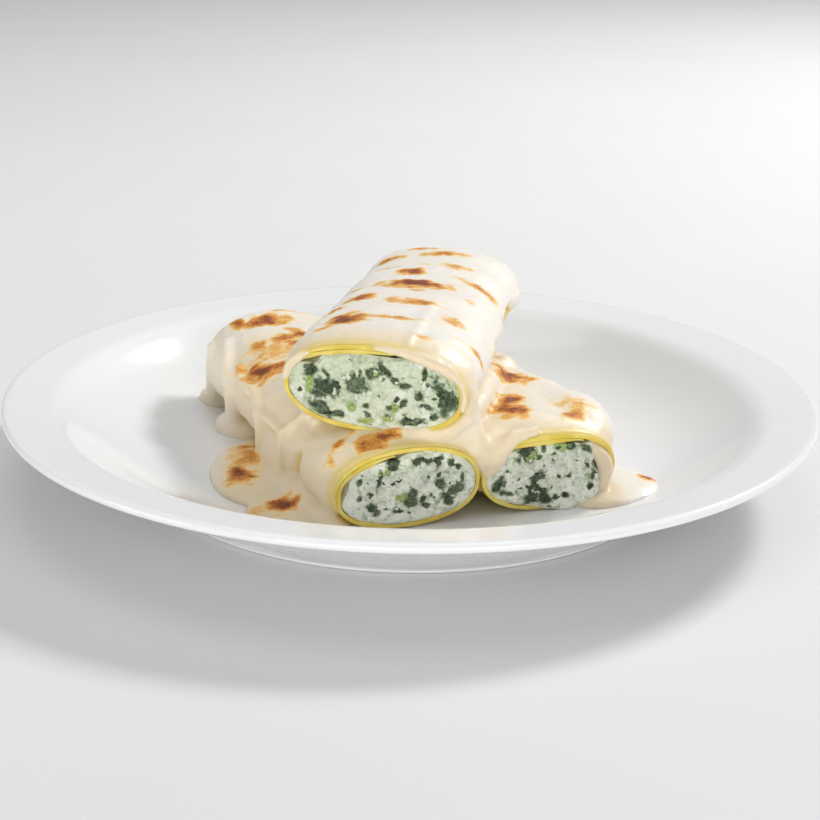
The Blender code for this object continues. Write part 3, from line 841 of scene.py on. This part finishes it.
def spinach():
    leaf = Finish("spinach")
    vein = leaf.noise(0.8, detail=3, roughness=0.6)
    return leaf.surface(
        Base_Color=leaf_green(leaf, vein.between(0.3, 0.7)),
        Roughness=0.28 + vein * 0.2,
        Normal=leaf.relief(vein, 0.10),
        Specular_IOR_Level=0.5,
    )


def crumb_finish():
    crumb = Finish("ricotta_crumbs")
    cloud = crumb.noise(1.5, detail=2)
    grain = crumb.noise(0.3, detail=2)
    return crumb.surface(
        Base_Color=crumb.mix(cloud, (0.62, 0.67, 0.49), (0.77, 0.79, 0.67)),
        Roughness=0.40 + grain * 0.2,
        Normal=crumb.relief(grain, 0.08),
        Subsurface_Weight=0.3,
        Subsurface_Radius=(1.0, 0.8, 0.5),
        Subsurface_Scale=0.8 * MM,
    )


draw = np.random.default_rng(7)
cuts = [(roll, at_back) for roll in ROLLS for at_back in (False, True)]
blades, shades = (np.concatenate(parts) for parts in zip(*(leaves_on(*cut, draw) for cut in cuts)))
points, faces = joined(blades, LEAF_GRID)
add_piece("spinach_shreds", points, faces, spinach(), "spinach_ricotta", marks={"shade": shades.ravel()})
points, faces = joined(np.concatenate([crumbs_on(*cut, draw) for cut in cuts]), CRUMB_GRID)
add_piece("ricotta_crumbs", points, faces, crumb_finish(), "spinach_ricotta")

# --- Bechamel ---
# One thick white sauce poured over the rolls. It clings to them in a coat, gathers where they meet,
# runs down the flanks in ridges, stands in round-edged pools on the plate, and browns under the grill.

SUNK = 2.0  # where a roll has no sauce, the sauce's surface lies this far inside it
BARE_EDGE = 0.55  # pasta that the coat leaves bare at each cut end, more or less
THIN_LIP = 0.25  # share of the coat's thickness that rises at once from the bare edge
LIP_WIDTH = 1.2
COAT_RISE = 8.0  # over this width the rest of it rises
COAT_FADE = math.radians(26)
COAT_WAVES = 0.2  # how uneven the coat's thickness is
END_WAVES = 0.5  # how uneven its ends are
SURFACE_WAVES = 0.2  # how far all of the sauce's surface swells and sinks
RIDGE_FADE = 0.5  # in radians: over this angle a ridge rises and falls at its ends
EDGE_WANDER = math.radians(24)  # how far the coat's lower edge wanders up and down
EMBEDDED = 0.95  # where it is thin, the sauce reaches this far into what it covers
RESTS_ABOVE = 0.08  # where it is thick, it stays this far clear of what it rests on
RUN_TOGETHER = 1.8  # radius with which neighbouring runs of sauce join
CUT_BACK = 1.0  # sauce that hangs over a cut end reaches this far behind it
LATTICE_MARGIN = 4.0
JUST_INSIDE = -0.001  # a value that counts as sauce
PITCH = 0.82  # of the lattice on which the sauce is worked out
POINT_REACH = 0.6 * PITCH  # a point moves no further than this from its start
NUDGE = 0.05  # step over which a slope is taken
RIDGES = {  # folds that run down round a roll: distance from the front cut, shift along the roll for
    # each radian, angles in degrees where they start and end, width and height
    "left": (
        (88, 3, 60, 215, 5.0, 0.4), (12, 8, 110, 215, 5.0, 0.5), (24, 4, 150, 235, 2.2, -2.0),
        (56, 3, 165, 235, 6.0, -0.6),
    ),
    "right": (
        (16, -5, -35, 70, 5.0, 0.6), (44, -6, -35, 80, 6.0, 0.6), (72, -4, -35, 80, 5.0, 0.5),
    ),
    "top": (
        (88, 2, -30, 205, 5.0, 0.6), (66, -5, 30, 205, 5.0, 0.45), (44, 4, 50, 205, 4.0, 0.40),
        (24, -4, 60, 205, 4.5, 0.35),
    ),
}
BLOBS = {  # runs of sauce: a middle, three half sizes, a turn about the upright in degrees, and for a
    # pool a flatness over 2, with which its top is level and its rim steep
    "pool on the left": ((-32.5, -21, FLOOR_TOP), (18, 25, 3.0), 6, 3.2),
    "pool before the left roll": ((-22, -47, FLOOR_TOP), (17, 10, 2.6), 0, 3.2),
    "pool on the right": ((48, -29, FLOOR_TOP), (15, 13, 3.6), 0, 3.0),
    "front drip's foot": ((-45.8, 10.5, FLOOR_TOP), (8.6, 5.2, 5.4), -38, 2.5),
    "back drip's foot": ((-55.5, 33.8, FLOOR_TOP), (4.5, 3.9, 5.0), 0, 2.5),
    "behind the back drip": ((-52, 33.2, 14), (4.0, 4.4, 9), 20),
    "curtain between the cut ends": ((18, -38, 20), (6, 10, 6.5), 20),
    "left crease": ((-18.5, -15, 28), (5, 26, 3.5), -13),
    "right crease": ((17.5, -17, 28), (5, 25, 4), -11),
    "skirt of the left roll": ((-31.5, -24, 8), (5.0, 13, 11), 22.6, 2.4),
    "foot of the left roll": ((-24.5, -40, FLOOR_TOP), (6.5, 25, 6.5), 22.6, 2.4),
    "lump at the top roll's foot": ((24.8, 10, 24.8), (3.7, 4.6, 4.3), 0),
    "between the three rolls": ((10.5, -41, 26.5), (6, 8, 4.5), 11),
    "lump on the right roll": ((41, -20, 20), (9, 15, 8.5), 20),
    "lump behind it": ((34, -8.5, 21.6), (8.5, 15, 5.8), 20),
    "lump on the left roll": ((-40, 34.6, 26), (13, 8.0, 7), 20),
    "veil over the top roll's cut": ((3.5, -48.5, 42.6), (6.4, 1.1, 4.0), -11),
}


def round_section(roll, t, *stops):
    """A path round a roll's section from stops of an angle in degrees, an inset and a radius."""
    return [(*roll.point(t, math.radians(angle), inset), radius) for angle, inset, radius in stops]


STREAMS = {  # runs of sauce along bent paths: points with a radius at each
    "back drip": [(-55, 28, 24.5, 1.5), (-54.6, 26.5, 20, 2.1), (-54.6, 28, 16, 2.2), (-55.2, 31, 11, 2.4)],
    "front drip": [
        (-50.3, 22, 27.6, 1.4), (-49.2, 12.8, 24.6, 2.0), (-48.4, 8.5, 22.0, 2.2),
        (-47.4, 6.0, 19.0, 2.4), (-46.8, 6.5, 15.0, 2.6), (-46.5, 9.0, 9.0, 3.0),
    ],
    "middle ridge": [
        (-45.6, 6.0, 26.0, 0.6), (-44.5, 0.4, 23.9, 1.1), (-42.4, -5.1, 23.4, 1.3), (-40.1, -9.7, 23.8, 1.4),
        (-39, -13.5, 22.8, 1.5), (-38.2, -17.6, 20.6, 1.5), (-37.6, -19.5, 17, 1.4), (-37.6, -18.5, 11, 1.5),
    ],
    "ledge": [
        (-38.2, -17.6, 20.9, 0.9), (-35.3, -23, 21.3, 0.95),
        (-33.2, -28, 21.4, 0.95), (-31, -32.7, 21.4, 0.9),
    ],
    "fold under the top roll": [
        (-25.8, -33.5, 26.4, 0.5), (-28.6, -34.2, 24, 0.9), (-31.1, -32.9, 21.2, 1.0),
        (-31.5, -34.6, 17.3, 0.9), (-31.8, -33.3, 10.5, 1.4),
    ],
    "fold across the front pool": [(-26.5, -41, 8.6, 0.8), (-23.0, -47, 8.2, 0.9), (-20.5, -51, 8.0, 0.7)],
    "curtain": [
        (14.2, -46, 35, 1.6), (14.6, -45.5, 29, 2.6), (16, -45.5, 23, 2.8),
        (17, -45, 17, 1.8), (17.4, -44, 12, 0.8),
    ],
    "over the right roll's edge": [
        (30, -42.6, 26.6, 1.0), (25, -44.2, 25.4, 1.7), (21, -45.8, 21.5, 2.0), (18.7, -46.6, 17.5, 1.4),
    ],
    "over the top roll's edge": round_section(
        TOP, -0.002, (96, 0.4, 0.2), (86, 0.4, 0.65), (76, 0.4, 0.95), (62, 0.4, 1.05), (50, 0.4, 0.95),
        (40, 0.4, 0.65), (30, 0.4, 0.3),
    ),
    "thin lip on the right of the top roll's cut": round_section(
        TOP, -0.001, *((angle, -0.15, 0.45) for angle in (40, 28, 16, 4, -8, -18))
    ),
    "line over the top sheet's edge": [
        (*TOP.point(t, math.radians(75), -1.6), radius) for t, radius in ((0.03, 0.3), (0.2, 0.7), (0.4, 0.3))
    ],
    "over the left side of the top roll's cut": round_section(
        TOP, -0.001, (132, 0.3, 0.1), (142, 0.3, 0.55), (154, 0.3, 0.85), (166, 0.3, 0.75), (178, 0.3, 0.3),
    ),
    "over the right side of the right roll's cut": round_section(
        RIGHT, 0.001, (46, 2.5, 0.8), (34, 3.0, 1.4), (20, 3.1, 1.8), (6, 2.8, 2.0), (-8, 2.2, 2.0),
        (-20, 1.6, 1.7), (-32, 0.8, 1.2),
    ),
    "under the top roll's edge": [
        (-4, -48.4, 26.8, 1.0), (3, -49, 27.8, 1.7), (9, -49, 28.6, 2.2),
        (13.4, -48.2, 31.5, 2.2), (14.4, -47.2, 36, 1.6),
    ],
}
SPOTS = {  # browned streaks, where the coat stands highest: distance from the front cut, angle, length
    # and width, turn in degrees from straight round the roll, and depth: 1 is the darkest
    "left": (
        (101, 84, 12, 5, 0, 0.55), (93, 100, 11, 7, -6, 0.95), (97, 123, 4, 6, 0, 0.8),
        (73, 114, 15, 17, 0, 0.38), (78.8, 119, 6, 5, 8, 0.72), (78.4, 101, 7, 5, 0, 0.78),
        (64.3, 137, 7, 11, 10, 1.0), (72, 150, 4, 8, 0, 0.55), (61.6, 120, 9, 4.5, 5, 0.72),
        (74, 96, 4, 8, 20, 0.75), (80, 88, 4, 9, 30, 0.85), (60, 104, 5, 6, 20, 0.8),
        (5.6, 104, 10, 5.5, 12, 1.0), (9.0, 132, 9, 2.5, 30, 0.6), (6.0, 146, 4, 2.2, 60, 0.45),
    ),
    "right": (
        (37, 80, 11, 9, 6, 1.0), (36, 62, 9, 3, 0, 0.4), (13.5, 100, 8, 9, 20, 1.0),
        (20, 94, 6, 6, 15, 0.9), (7.5, 65, 6, 5, 10, 0.8), (13, 55, 11, 11, 10, 0.36),
        (60, 80, 9, 6, 10, 0.7), (78, 95, 11, 7, -5, 0.85), (86, 60, 7, 4, 0, 0.5),
    ),
    "top": (
        (90, 102, 9, 3, 0, 0.55), (85, 88, 12, 4, 4, 0.65), (72, 76, 8, 5, -8, 0.55),
        (72, 94, 5, 3, 5, 0.5), (64, 99, 8, 5, 12, 0.85), (52, 92, 15, 7, 6, 1.0), (45, 90, 6, 3, 0, 0.6),
        (37, 120, 8, 5, 15, 0.8), (27, 131, 8, 3, 60, 0.7), (16, 117, 9, 8, 25, 1.0),
        (34, 88, 13, 5, 3, 0.7), (18.5, 92, 14, 3, 3, 0.6), (10, 128, 5, 3, 10, 0.5),
        (60, 52, 12, 3.5, -25, 0.6), (46, 55, 3, 5, 0, 0.4), (26, 58, 6, 5, -30, 0.5),
        (7.5, 70, 7, 2.5, 0, 0.5), (16, 26, 9, 2.5, 0, 0.55), (70, 125, 8, 4, 10, 0.6),
        (84, 130, 9, 4, 0, 0.7), (52, 140, 8, 4, -10, 0.5),
    ),
}
POOL_SPOTS = (  # browned places of the pools: middle on the plate, half sizes, turn and depth
    (-40.8, -17, 5.0, 9.5, 0, 0.52), (-41.0, -8.5, 4.6, 1.8, 0, 0.65), (-42.0, -29.5, 3.3, 5.2, 5, 0.95),
    (-29.7, -48.7, 3.8, 3.4, -10, 1.0), (-36, -50, 3.0, 3.0, 0, 0.35), (59.8, -26.5, 2.2, 1.8, -20, 0.85),
)


def blob_distance(x, y, z, middle, half_sizes, turn, flatness=2.0):
    """Distance out from a ball that is squashed to its half sizes and turned about the upright."""
    cosine, sine = math.cos(math.radians(turn)), math.sin(math.radians(turn))
    run_x, run_y = x - middle[0], y - middle[1]
    wide, deep, high = half_sizes
    one, other = (run_x * cosine + run_y * sine) / wide, (run_y * cosine - run_x * sine) / deep
    flat = np.sqrt(one**2 + other**2) + 1e-4
    up = np.abs((z - middle[2]) / high) + 1e-4
    return squashed_distance(flat, up, np.hypot(one / wide, other / deep) / flat, 1 / high, flatness)


def stream_distance(x, y, z, path):
    """Distance out from a run of sauce: from the nearest stretch of its path, less the radius there."""
    nearest = np.inf
    for (ax, ay, az, first), (bx, by, bz, last) in zip(path, path[1:]):
        run_x, run_y, run_z = bx - ax, by - ay, bz - az
        share = (x - ax) * run_x + (y - ay) * run_y + (z - az) * run_z
        share = np.clip(share / (run_x**2 + run_y**2 + run_z**2), 0, 1)
        away = (x - ax - share * run_x) ** 2 + (y - ay - share * run_y) ** 2 + (z - az - share * run_z) ** 2
        nearest = np.minimum(nearest, np.sqrt(away) - (first + (last - first) * share))
    return nearest


def run_together(one, other, radius):
    """The lower of two distances, with the corner between them rounded off as wet sauce does."""
    share = np.clip(0.5 + 0.5 * (other - one) / radius, 0, 1)
    return other + (one - other) * share - radius * share * (1 - share)


def round_rise(share):
    """A quarter of a circle: up steeply from 0, level at 1."""
    return np.sqrt(np.clip(1 - (1 - np.clip(share, 0, 1)) ** 2, 0, 1))


def coat_distance(roll, x, y, z, uneven):
    """Distance out from a roll's coat: that from the roll less the coat's thickness there."""
    t, angle, out = roll.seen_from(x, y, z)
    place, held = t * roll.length, np.clip(t, 0, 1)
    thickness = part_way(roll.coat, held)
    coat_from = np.radians(part_way(roll.coat_from, held))
    coat_to = math.radians(roll.coat_to)
    middle, reach = (coat_from + coat_to) / 2, (coat_to - coat_from) / 2
    around = (angle - middle + math.pi) % FULL_TURN - math.pi
    for at, lean, low, high, width, height in RIDGES[roll.name]:
        low, high = math.radians(low), math.radians(high)
        spot = around + middle
        off = (place - at - lean * (spot - (low + high) / 2)) / width
        along = eased(spot, low, low + RIDGE_FADE) * eased(spot, high, high - RIDGE_FADE)
        thickness = thickness + height * np.exp(-off * off) * along
    thickness = thickness * (1 + COAT_WAVES * uneven)
    end = np.minimum(place, roll.length - place) - BARE_EDGE * (1 + END_WAVES * uneven)
    rise = THIN_LIP * round_rise(end / LIP_WIDTH) + (1 - THIN_LIP) * eased(end, 0, COAT_RISE)
    reach = reach + rough(x, y, z, (EDGE_WANDER, 15, 43), (EDGE_WANDER / 3, 5, 44))
    kept = round_rise((reach - np.abs(around)) / COAT_FADE)
    thickness = (thickness + SUNK) * kept - SUNK
    thickness = np.where(thickness > 0, thickness * rise, thickness)
    return np.maximum(np.maximum(out - thickness, -EMBEDDED - 0.1 - out), -end)


def sauce_distance(x, y, z):
    """Distance out from the sauce's free surface: coats, blobs and streams, run together."""
    uneven = rough(x, y, z, (1, 9, 41))
    surface, *others = (coat_distance(roll, x, y, z, uneven) for roll in ROLLS)
    others += [blob_distance(x, y, z, *blob) for blob in BLOBS.values()]
    others += [stream_distance(x, y, z, path) for path in STREAMS.values()]
    for other in others:
        surface = run_together(surface, other, RUN_TOGETHER)
    return surface + SURFACE_WAVES * uneven + rough(x, y, z, (0.12, 3.6, 42))


def sauce_field(x, y, z):
    """Below 0 in the sauce. It sinks a little into what it borders on; where it is thick, it rests on it."""
    solid = z - plate_top(np.hypot(x, y))
    for roll in ROLLS:
        t, _, out = roll.seen_from(x, y, z)
        solid = np.minimum(solid, np.maximum(out, CUT_BACK - np.minimum(t, 1 - t) * roll.length))
    free = sauce_distance(x, y, z)
    clearance = -EMBEDDED + (EMBEDDED + RESTS_ABOVE) * eased(free, -0.4, -1.2)
    return np.maximum(free, clearance - solid)


def without_pinches(values):
    """Fills the lattice where sauce would touch sauce across a cell's side only from corner to corner."""
    halves = (slice(None, -1), slice(1, None))
    for one, other in ((0, 1), (1, 2), (0, 2)) * 3:
        corners = []
        for first, second in np.ndindex(2, 2):
            part = [slice(None)] * 3
            part[one], part[other] = halves[first], halves[second]
            corners.append(values[tuple(part)])
        inside = [corner < 0 for corner in corners]
        pinched = (inside[0] == inside[3]) & (inside[1] == inside[2]) & (inside[0] != inside[1])
        for corner in corners:
            corner[pinched] = np.minimum(corner[pinched], JUST_INSIDE)
    return values


def level_surface(values, lowest, pitch):
    """The surface on which a lattice of values is 0, as four-sided faces.

    In each cell that the surface crosses, the inner corners that hang together share one point, at
    the mean of the crossings on their edges. Each lattice edge that it crosses gets a face between
    the points of the four cells around it.
    """
    corners, weights = np.array(list(np.ndindex(2, 2, 2))), np.array([4, 2, 1])
    edges = [(one, one | bit) for one in range(8) for bit in weights if not one & bit]
    inside = values < 0
    cells = tuple(size - 1 for size in values.shape)
    count = np.zeros(cells, np.int8)
    for corner in corners:
        count += inside[tuple(slice(one, one + size) for one, size in zip(corner, cells))]
    base = np.argwhere((count > 0) & (count < 8))
    number = np.full(cells, -1)
    number[tuple(base.T)] = np.arange(len(base))
    place = tuple(np.moveaxis(base[:, None] + corners, -1, 0))
    height, filled = values[place], inside[place]
    part = np.tile(np.arange(8), (len(base), 1))
    for one, other in edges * 3:
        both = filled[:, one] & filled[:, other]
        part[both, one] = part[both, other] = np.minimum(part[both, one], part[both, other])
    vertex = np.full(filled.shape, -1)
    vertex[filled] = np.unique((np.arange(len(base))[:, None] * 8 + part)[filled], return_inverse=True)[1]
    total, hits = np.zeros((vertex.max() + 1, 3)), np.zeros(vertex.max() + 1)
    for one, other in edges:
        crosses = filled[:, one] != filled[:, other]
        owner = np.where(filled[crosses, one], vertex[crosses, one], vertex[crosses, other])
        share = height[crosses, one] / (height[crosses, one] - height[crosses, other])
        total[owner] += base[crosses] + corners[one] + share[:, None] * (corners[other] - corners[one])
        hits[owner] += 1
    faces = []
    for axis in range(3):
        unit, second, third = np.roll(np.eye(3, dtype=int), -axis, axis=0)
        within = [slice(1, size - 1) for size in inside.shape]
        within[axis] = slice(0, -1)
        low = inside[tuple(within)]
        within[axis] = slice(1, None)
        start = np.argwhere(low != inside[tuple(within)])
        leaves = low[tuple(start.T)]
        start = start + 1 - unit
        ring = []
        for step in (second + third, third, 0 * unit, second):
            corner = step @ weights + np.where(leaves, 0, unit @ weights)
            ring.append(vertex[number[tuple((start - step).T)], corner])
        ring = np.stack(ring, -1)
        faces.append(np.where(leaves[:, None], ring, ring[:, ::-1]))
    return lowest + pitch * total / hits[:, None], np.concatenate(faces)


def largest_piece(points, faces):
    """Only the faces that hang together with most others: every point takes its neighbours' lowest number."""
    label, before = np.arange(len(points)), None
    while before is None or (label != before).any():
        before = label.copy()
        np.minimum.at(label, faces.ravel(), np.repeat(before[faces].min(1), 4))
        label = label[label]
    kept = faces[label[faces[:, 0]] == np.bincount(label).argmax()]
    used, kept = np.unique(kept, return_inverse=True)
    return points[used], kept.reshape(-1, 4)


def slope(field, points, here):
    """A field's slope at points: how much it grows over a short step along each axis."""
    return np.stack([field(*(points + NUDGE * unit).T) - here for unit in np.eye(3)], -1) / NUDGE


def bechamel_surface():
    """The zero surface of the sauce's field, its points twice moved down the field's slope onto it."""
    low, high = (np.array(corner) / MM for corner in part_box("bechamel"))
    low, high = low - LATTICE_MARGIN, high + LATTICE_MARGIN
    axes = [np.arange(a, b, PITCH) for a, b in zip(low, high)]
    x, y, z = np.meshgrid(*axes, indexing="ij", sparse=True)
    values = without_pinches(sauce_field(x, y, z))
    start, faces = largest_piece(*level_surface(values, low, PITCH))
    points = start
    for _ in range(2):
        here = sauce_field(*points.T)
        down = slope(sauce_field, points, here)
        points = points - (here / np.maximum((down**2).sum(-1), 0.2))[:, None] * down
        points = start + np.clip(points - start, -POINT_REACH, POINT_REACH)
    return points, faces


COAT_REACH = 4.5  # further out from every roll, the sauce isn't a coat
ROLL_RADIUS = 16.0
STREAK_STRETCH = 1.9  # length of the streaks' fine strands, as a share of their width
POOL_STRETCH = (0.8, 1.6)  # the same off the rolls, along and across the plate
ROLL_SHIFT = 50.0  # keeps the streaks of the rolls apart
STREAK_RISE = 2.2  # the coat's surface, out from the roll
STREAK_DEPTH = 5.0
STREAK_EDGE = 1.6  # a streak ends at this many of its half sizes, more or less
STREAK_FADE = 1.4  # and fades over this many
POOL_TOP = 10.5
BLISTER_HEIGHT = 0.45
# painted shade: low sauce is warmed and darkened as though it lay in shade
LOW_SHADE_BAND = (36, 23)  # the sauce is warmer between these heights, and from there down
RIGHT_BAND, LEFT_BAND = (40, 20), (-43, -49)  # across the plate: less so further out than these
CUT_BAND = (13, 2)  # distances from a front cut between which the sauce turns warm towards it


def combed(points):
    """Coordinates in which streaks are as long as wide: along the roll, round it, and which roll it is.

    Off the rolls they are the plate's own, drawn out to the right.
    """
    x, y, z = points.T
    nearest = np.full(len(x), COAT_REACH)
    place = np.stack([y / POOL_STRETCH[0], x / POOL_STRETCH[1], x * 0], -1)
    for number, roll in enumerate(ROLLS, 1):
        t, angle, out = roll.seen_from(x, y, z)
        round_it = angle * ROLL_RADIUS / STREAK_STRETCH
        here = np.stack([t * roll.length, round_it, np.full_like(t, ROLL_SHIFT * number)], -1)
        place = np.where((out < nearest)[:, None], here, place)
        nearest = np.minimum(nearest, out)
    return place


def browning(points, place):
    """How browned each point of the sauce is: a streak is darkest in its middle and frays at its rim."""
    x, y, z = points.T
    ragged = rough(x, y, z, (0.55, 3.2, 70)) + rough(*place.T, (0.30, 2.2, 71), (0.18, 1, 72))
    streaks = []
    for roll in ROLLS:
        for at, angle, length, width, turn, depth in SPOTS[roll.name]:
            angle, t = math.radians(angle), at / roll.length
            around = roll.point(t, angle + 0.05) - roll.point(t, angle - 0.05)
            around = around / np.linalg.norm(around)
            away = points - roll.point(t, angle, -STREAK_RISE)
            through = away @ np.cross(around, roll.along) / STREAK_DEPTH
            reach = oval_reach(away @ -around, away @ roll.along, turn, length / 2, width / 2)
            streaks.append((depth, np.hypot(reach, through)))
    for middle_x, middle_y, wide, deep, turn, depth in POOL_SPOTS:
        reach = oval_reach(x - middle_x, y - middle_y, turn, wide, deep)
        streaks.append((depth, np.hypot(reach, np.clip(z - POOL_TOP, 0, None))))
    edge = STREAK_EDGE + ragged
    return np.max([depth * np.clip((edge - reach) / STREAK_FADE, 0, 1) for depth, reach in streaks], axis=0)


def blistered(points, browned):
    """Browned skin stands up in small blisters: each point moves out by their height there."""
    outwards = slope(sauce_distance, points, sauce_distance(*points.T))
    outwards = outwards / np.maximum(np.linalg.norm(outwards, axis=1, keepdims=True), 1e-6)
    blister = BLISTER_HEIGHT * eased(browned, 0, 0.6) * (0.25 + rough(*points.T, (0.75, 1.6, 75)))
    return points + outwards * (blister + rough(*points.T, (0.10, 2.2, 76)))[:, None]


def sauce_marks(points):
    """What the sauce's finish reads: how browned, how thin over pasta, and how low (painted shade) or near a
    cut it is.
    """
    x, y, z = points.T
    over_pasta, by_cut = np.full(len(points), 9.0), np.zeros(len(points))
    for roll in ROLLS:
        t, _, out = roll.seen_from(x, y, z)
        over_pasta = np.where((t > 0) & (t < 1) & (out > -1.3), np.minimum(over_pasta, out), over_pasta)
        by_cut = np.maximum(by_cut, eased(np.abs(t) * roll.length, *CUT_BAND) * eased(out, 5, 2))
    crease = stream_distance(x, y, z, STREAMS["line over the top sheet's edge"])
    # painted shade: sauce that lies low is warmed and darkened, less so far out on either side
    low = eased(z, *LOW_SHADE_BAND) * eased(x, *RIGHT_BAND) * (1 - 0.4 * eased(x, *LEFT_BAND))
    place = combed(points)
    return {
        "browned": browning(points, place),
        "thin": np.maximum(eased(over_pasta, 1.2, 0.4), 0.4 * eased(crease, 0.6, -0.4)),
        "low": np.maximum(low, 0.95 * by_cut),
        "combed": place,
    }


def bechamel():
    sauce = Finish("bechamel")
    browned, thin, low = sauce.mark("browned"), sauce.mark("thin"), sauce.mark("low")
    inputs = {"Vector": sauce.mark("combed", "Vector"), "Scale": 1.3, "Detail": 3.0, "Roughness": 0.65}
    streak = sauce.add("ShaderNodeTexNoise", None, inputs)
    cloud = sauce.noise(6, detail=2)
    fine = sauce.noise(1.2, detail=2)
    wrinkle = sauce.noise(3.2, detail=3)
    fleck = sauce.noise(0.8, detail=4, roughness=0.7)
    cream = sauce.mix(cloud, (0.85, 0.785, 0.70), (0.89, 0.85, 0.785))
    # painted shade: a warmer, darker cream where the sauce lies low; sauce near a front cut takes it too
    warm_shade = sauce.mix(cloud, (0.785, 0.65, 0.44), (0.83, 0.72, 0.525))
    cream = sauce.mix(low, cream, warm_shade)
    cream = sauce.mix(thin * 0.85, cream, (0.78, 0.60, 0.20))
    frayed = ((streak - 0.5) * 0.55 + (fleck - 0.5) * 0.7) * browned.between(0.0, 0.35)
    toasted = browned + frayed
    stops = [(0.05, (0.93, 0.79, 0.50)), (0.30, (0.87, 0.53, 0.15)), (0.56, (0.69, 0.27, 0.035)),
             (0.78, (0.37, 0.085, 0.006)), (1.0, (0.17, 0.035, 0.003))]
    crust = sauce.add("ShaderNodeValToRGB", {"stops": stops}, {"Fac": toasted})
    return sauce.surface(
        Base_Color=sauce.mix(toasted.between(0.02, 0.36), cream, crust),
        Roughness=0.33 + fine * 0.14 + browned * 0.05,
        Normal=sauce.relief(fleck * browned.between(0.1, 0.5) + fine * 0.22 + wrinkle * 0.55, 0.35),
        Subsurface_Weight=0.5,
        Subsurface_Radius=(1.0, 0.65, 0.35),
        Subsurface_Scale=1.2 * MM,
        Specular_IOR_Level=0.45,
    )


points, faces = bechamel_surface()
marks = sauce_marks(points)
points = blistered(points, marks["browned"])
add_piece("poured_bechamel", points, faces.tolist(), bechamel(), "bechamel", "bechamel", marks)

# --- Table, lights and camera ---
# A plain pale table top, one softbox behind on the right as the key, weak ones all round, and a lens
# that looks down on the plate's lip from the front.

TABLE_REACH = 3000.0
TABLE_DROP = 0.02  # the table lies this far under the foot ring
SOFTBOXES = {  # place, size, power and colour
    "key": ((873, 788, 981), (360, 270), 14.3, (1.0, 0.99, 0.97)),
    "front": ((136, -1190, 374), (1020, 510), 1.4, (1.0, 1.0, 1.0)),
    "low front": ((0, -1190, 68), (1530, 102), 5.8, (1.0, 1.0, 1.0)),
    "left": ((-1000, -380, 260), (500, 300), 1.3, (1.0, 1.0, 1.0)),
    "overhead": ((-60, 0, 900), (700, 700), 1.5, (1.0, 1.0, 1.0)),
}
LIT_PLACE = Vector((0, 0, 15))  # the softboxes face it
CAMERA_REACH = 450.0  # from the middle of the plate's lip
CAMERA_RISE = math.radians(18.206)
CAMERA_ROLL = math.radians(0.939)


def linked(name, data):
    thing = bpy.data.objects.new(name, data)
    bpy.context.scene.collection.objects.link(thing)
    return thing


def table_finish():
    paint = Finish("table")
    tint = paint.noise(120, detail=2)
    return paint.surface(Base_Color=paint.mix(tint, (0.74, 0.74, 0.74), (0.78, 0.78, 0.775)), Roughness=0.8)


across = np.linspace(-TABLE_REACH, TABLE_REACH, 9)
points = np.stack(np.meshgrid(across, across, [-TABLE_DROP], indexing="ij"), -1)
mesh = bpy.data.meshes.new("table")
mesh.from_pydata(points.reshape(-1, 3) * MM, [], quads(9, 9)[:, ::-1].tolist())
mesh.materials.append(table_finish())
linked("table", mesh)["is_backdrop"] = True

for name, (place, size, power, colour) in SOFTBOXES.items():
    lamp = bpy.data.lights.new(name, "AREA")
    lamp.shape = "RECTANGLE"
    lamp.size, lamp.size_y = size[0] * MM, size[1] * MM
    lamp.energy = power
    lamp.color = colour
    holder = linked(name, lamp)
    holder.location = Vector(place) * MM
    holder.rotation_euler = (LIT_PLACE - Vector(place)).to_track_quat("-Z", "Y").to_euler()

room = bpy.data.worlds.new("room")
room.use_nodes = True
room.node_tree.nodes["Background"].inputs["Color"].default_value = (0.99, 1.0, 1.0, 1)
room.node_tree.nodes["Background"].inputs["Strength"].default_value = 0.455
bpy.context.scene.world = room
bpy.context.scene.view_settings.view_transform = "Standard"

lens = bpy.data.cameras.new("camera")
lens.sensor_width, lens.lens = 36.0, 75.03
lens.shift_x, lens.shift_y = 0.0002, -0.0236
lens.clip_start, lens.clip_end = 0.01, 20
camera = linked("camera", lens)
lip_middle = Vector((0, 0, PLATE_HEIGHT - LIP_EDGE_RADIUS)) * MM
backwards = Vector((0, -math.cos(CAMERA_RISE), math.sin(CAMERA_RISE)))
look = (-backwards).to_track_quat("-Z", "Y").to_matrix().to_4x4()
place = Matrix.Translation(lip_middle + backwards * CAMERA_REACH * MM)
camera.matrix_world = place @ look @ Matrix.Rotation(CAMERA_ROLL, 4, "Z")
bpy.context.scene.camera = camera

size = {
    "cad": [list(corner) for corner in cad_box],
    "visual": [list(corner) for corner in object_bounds()],
}
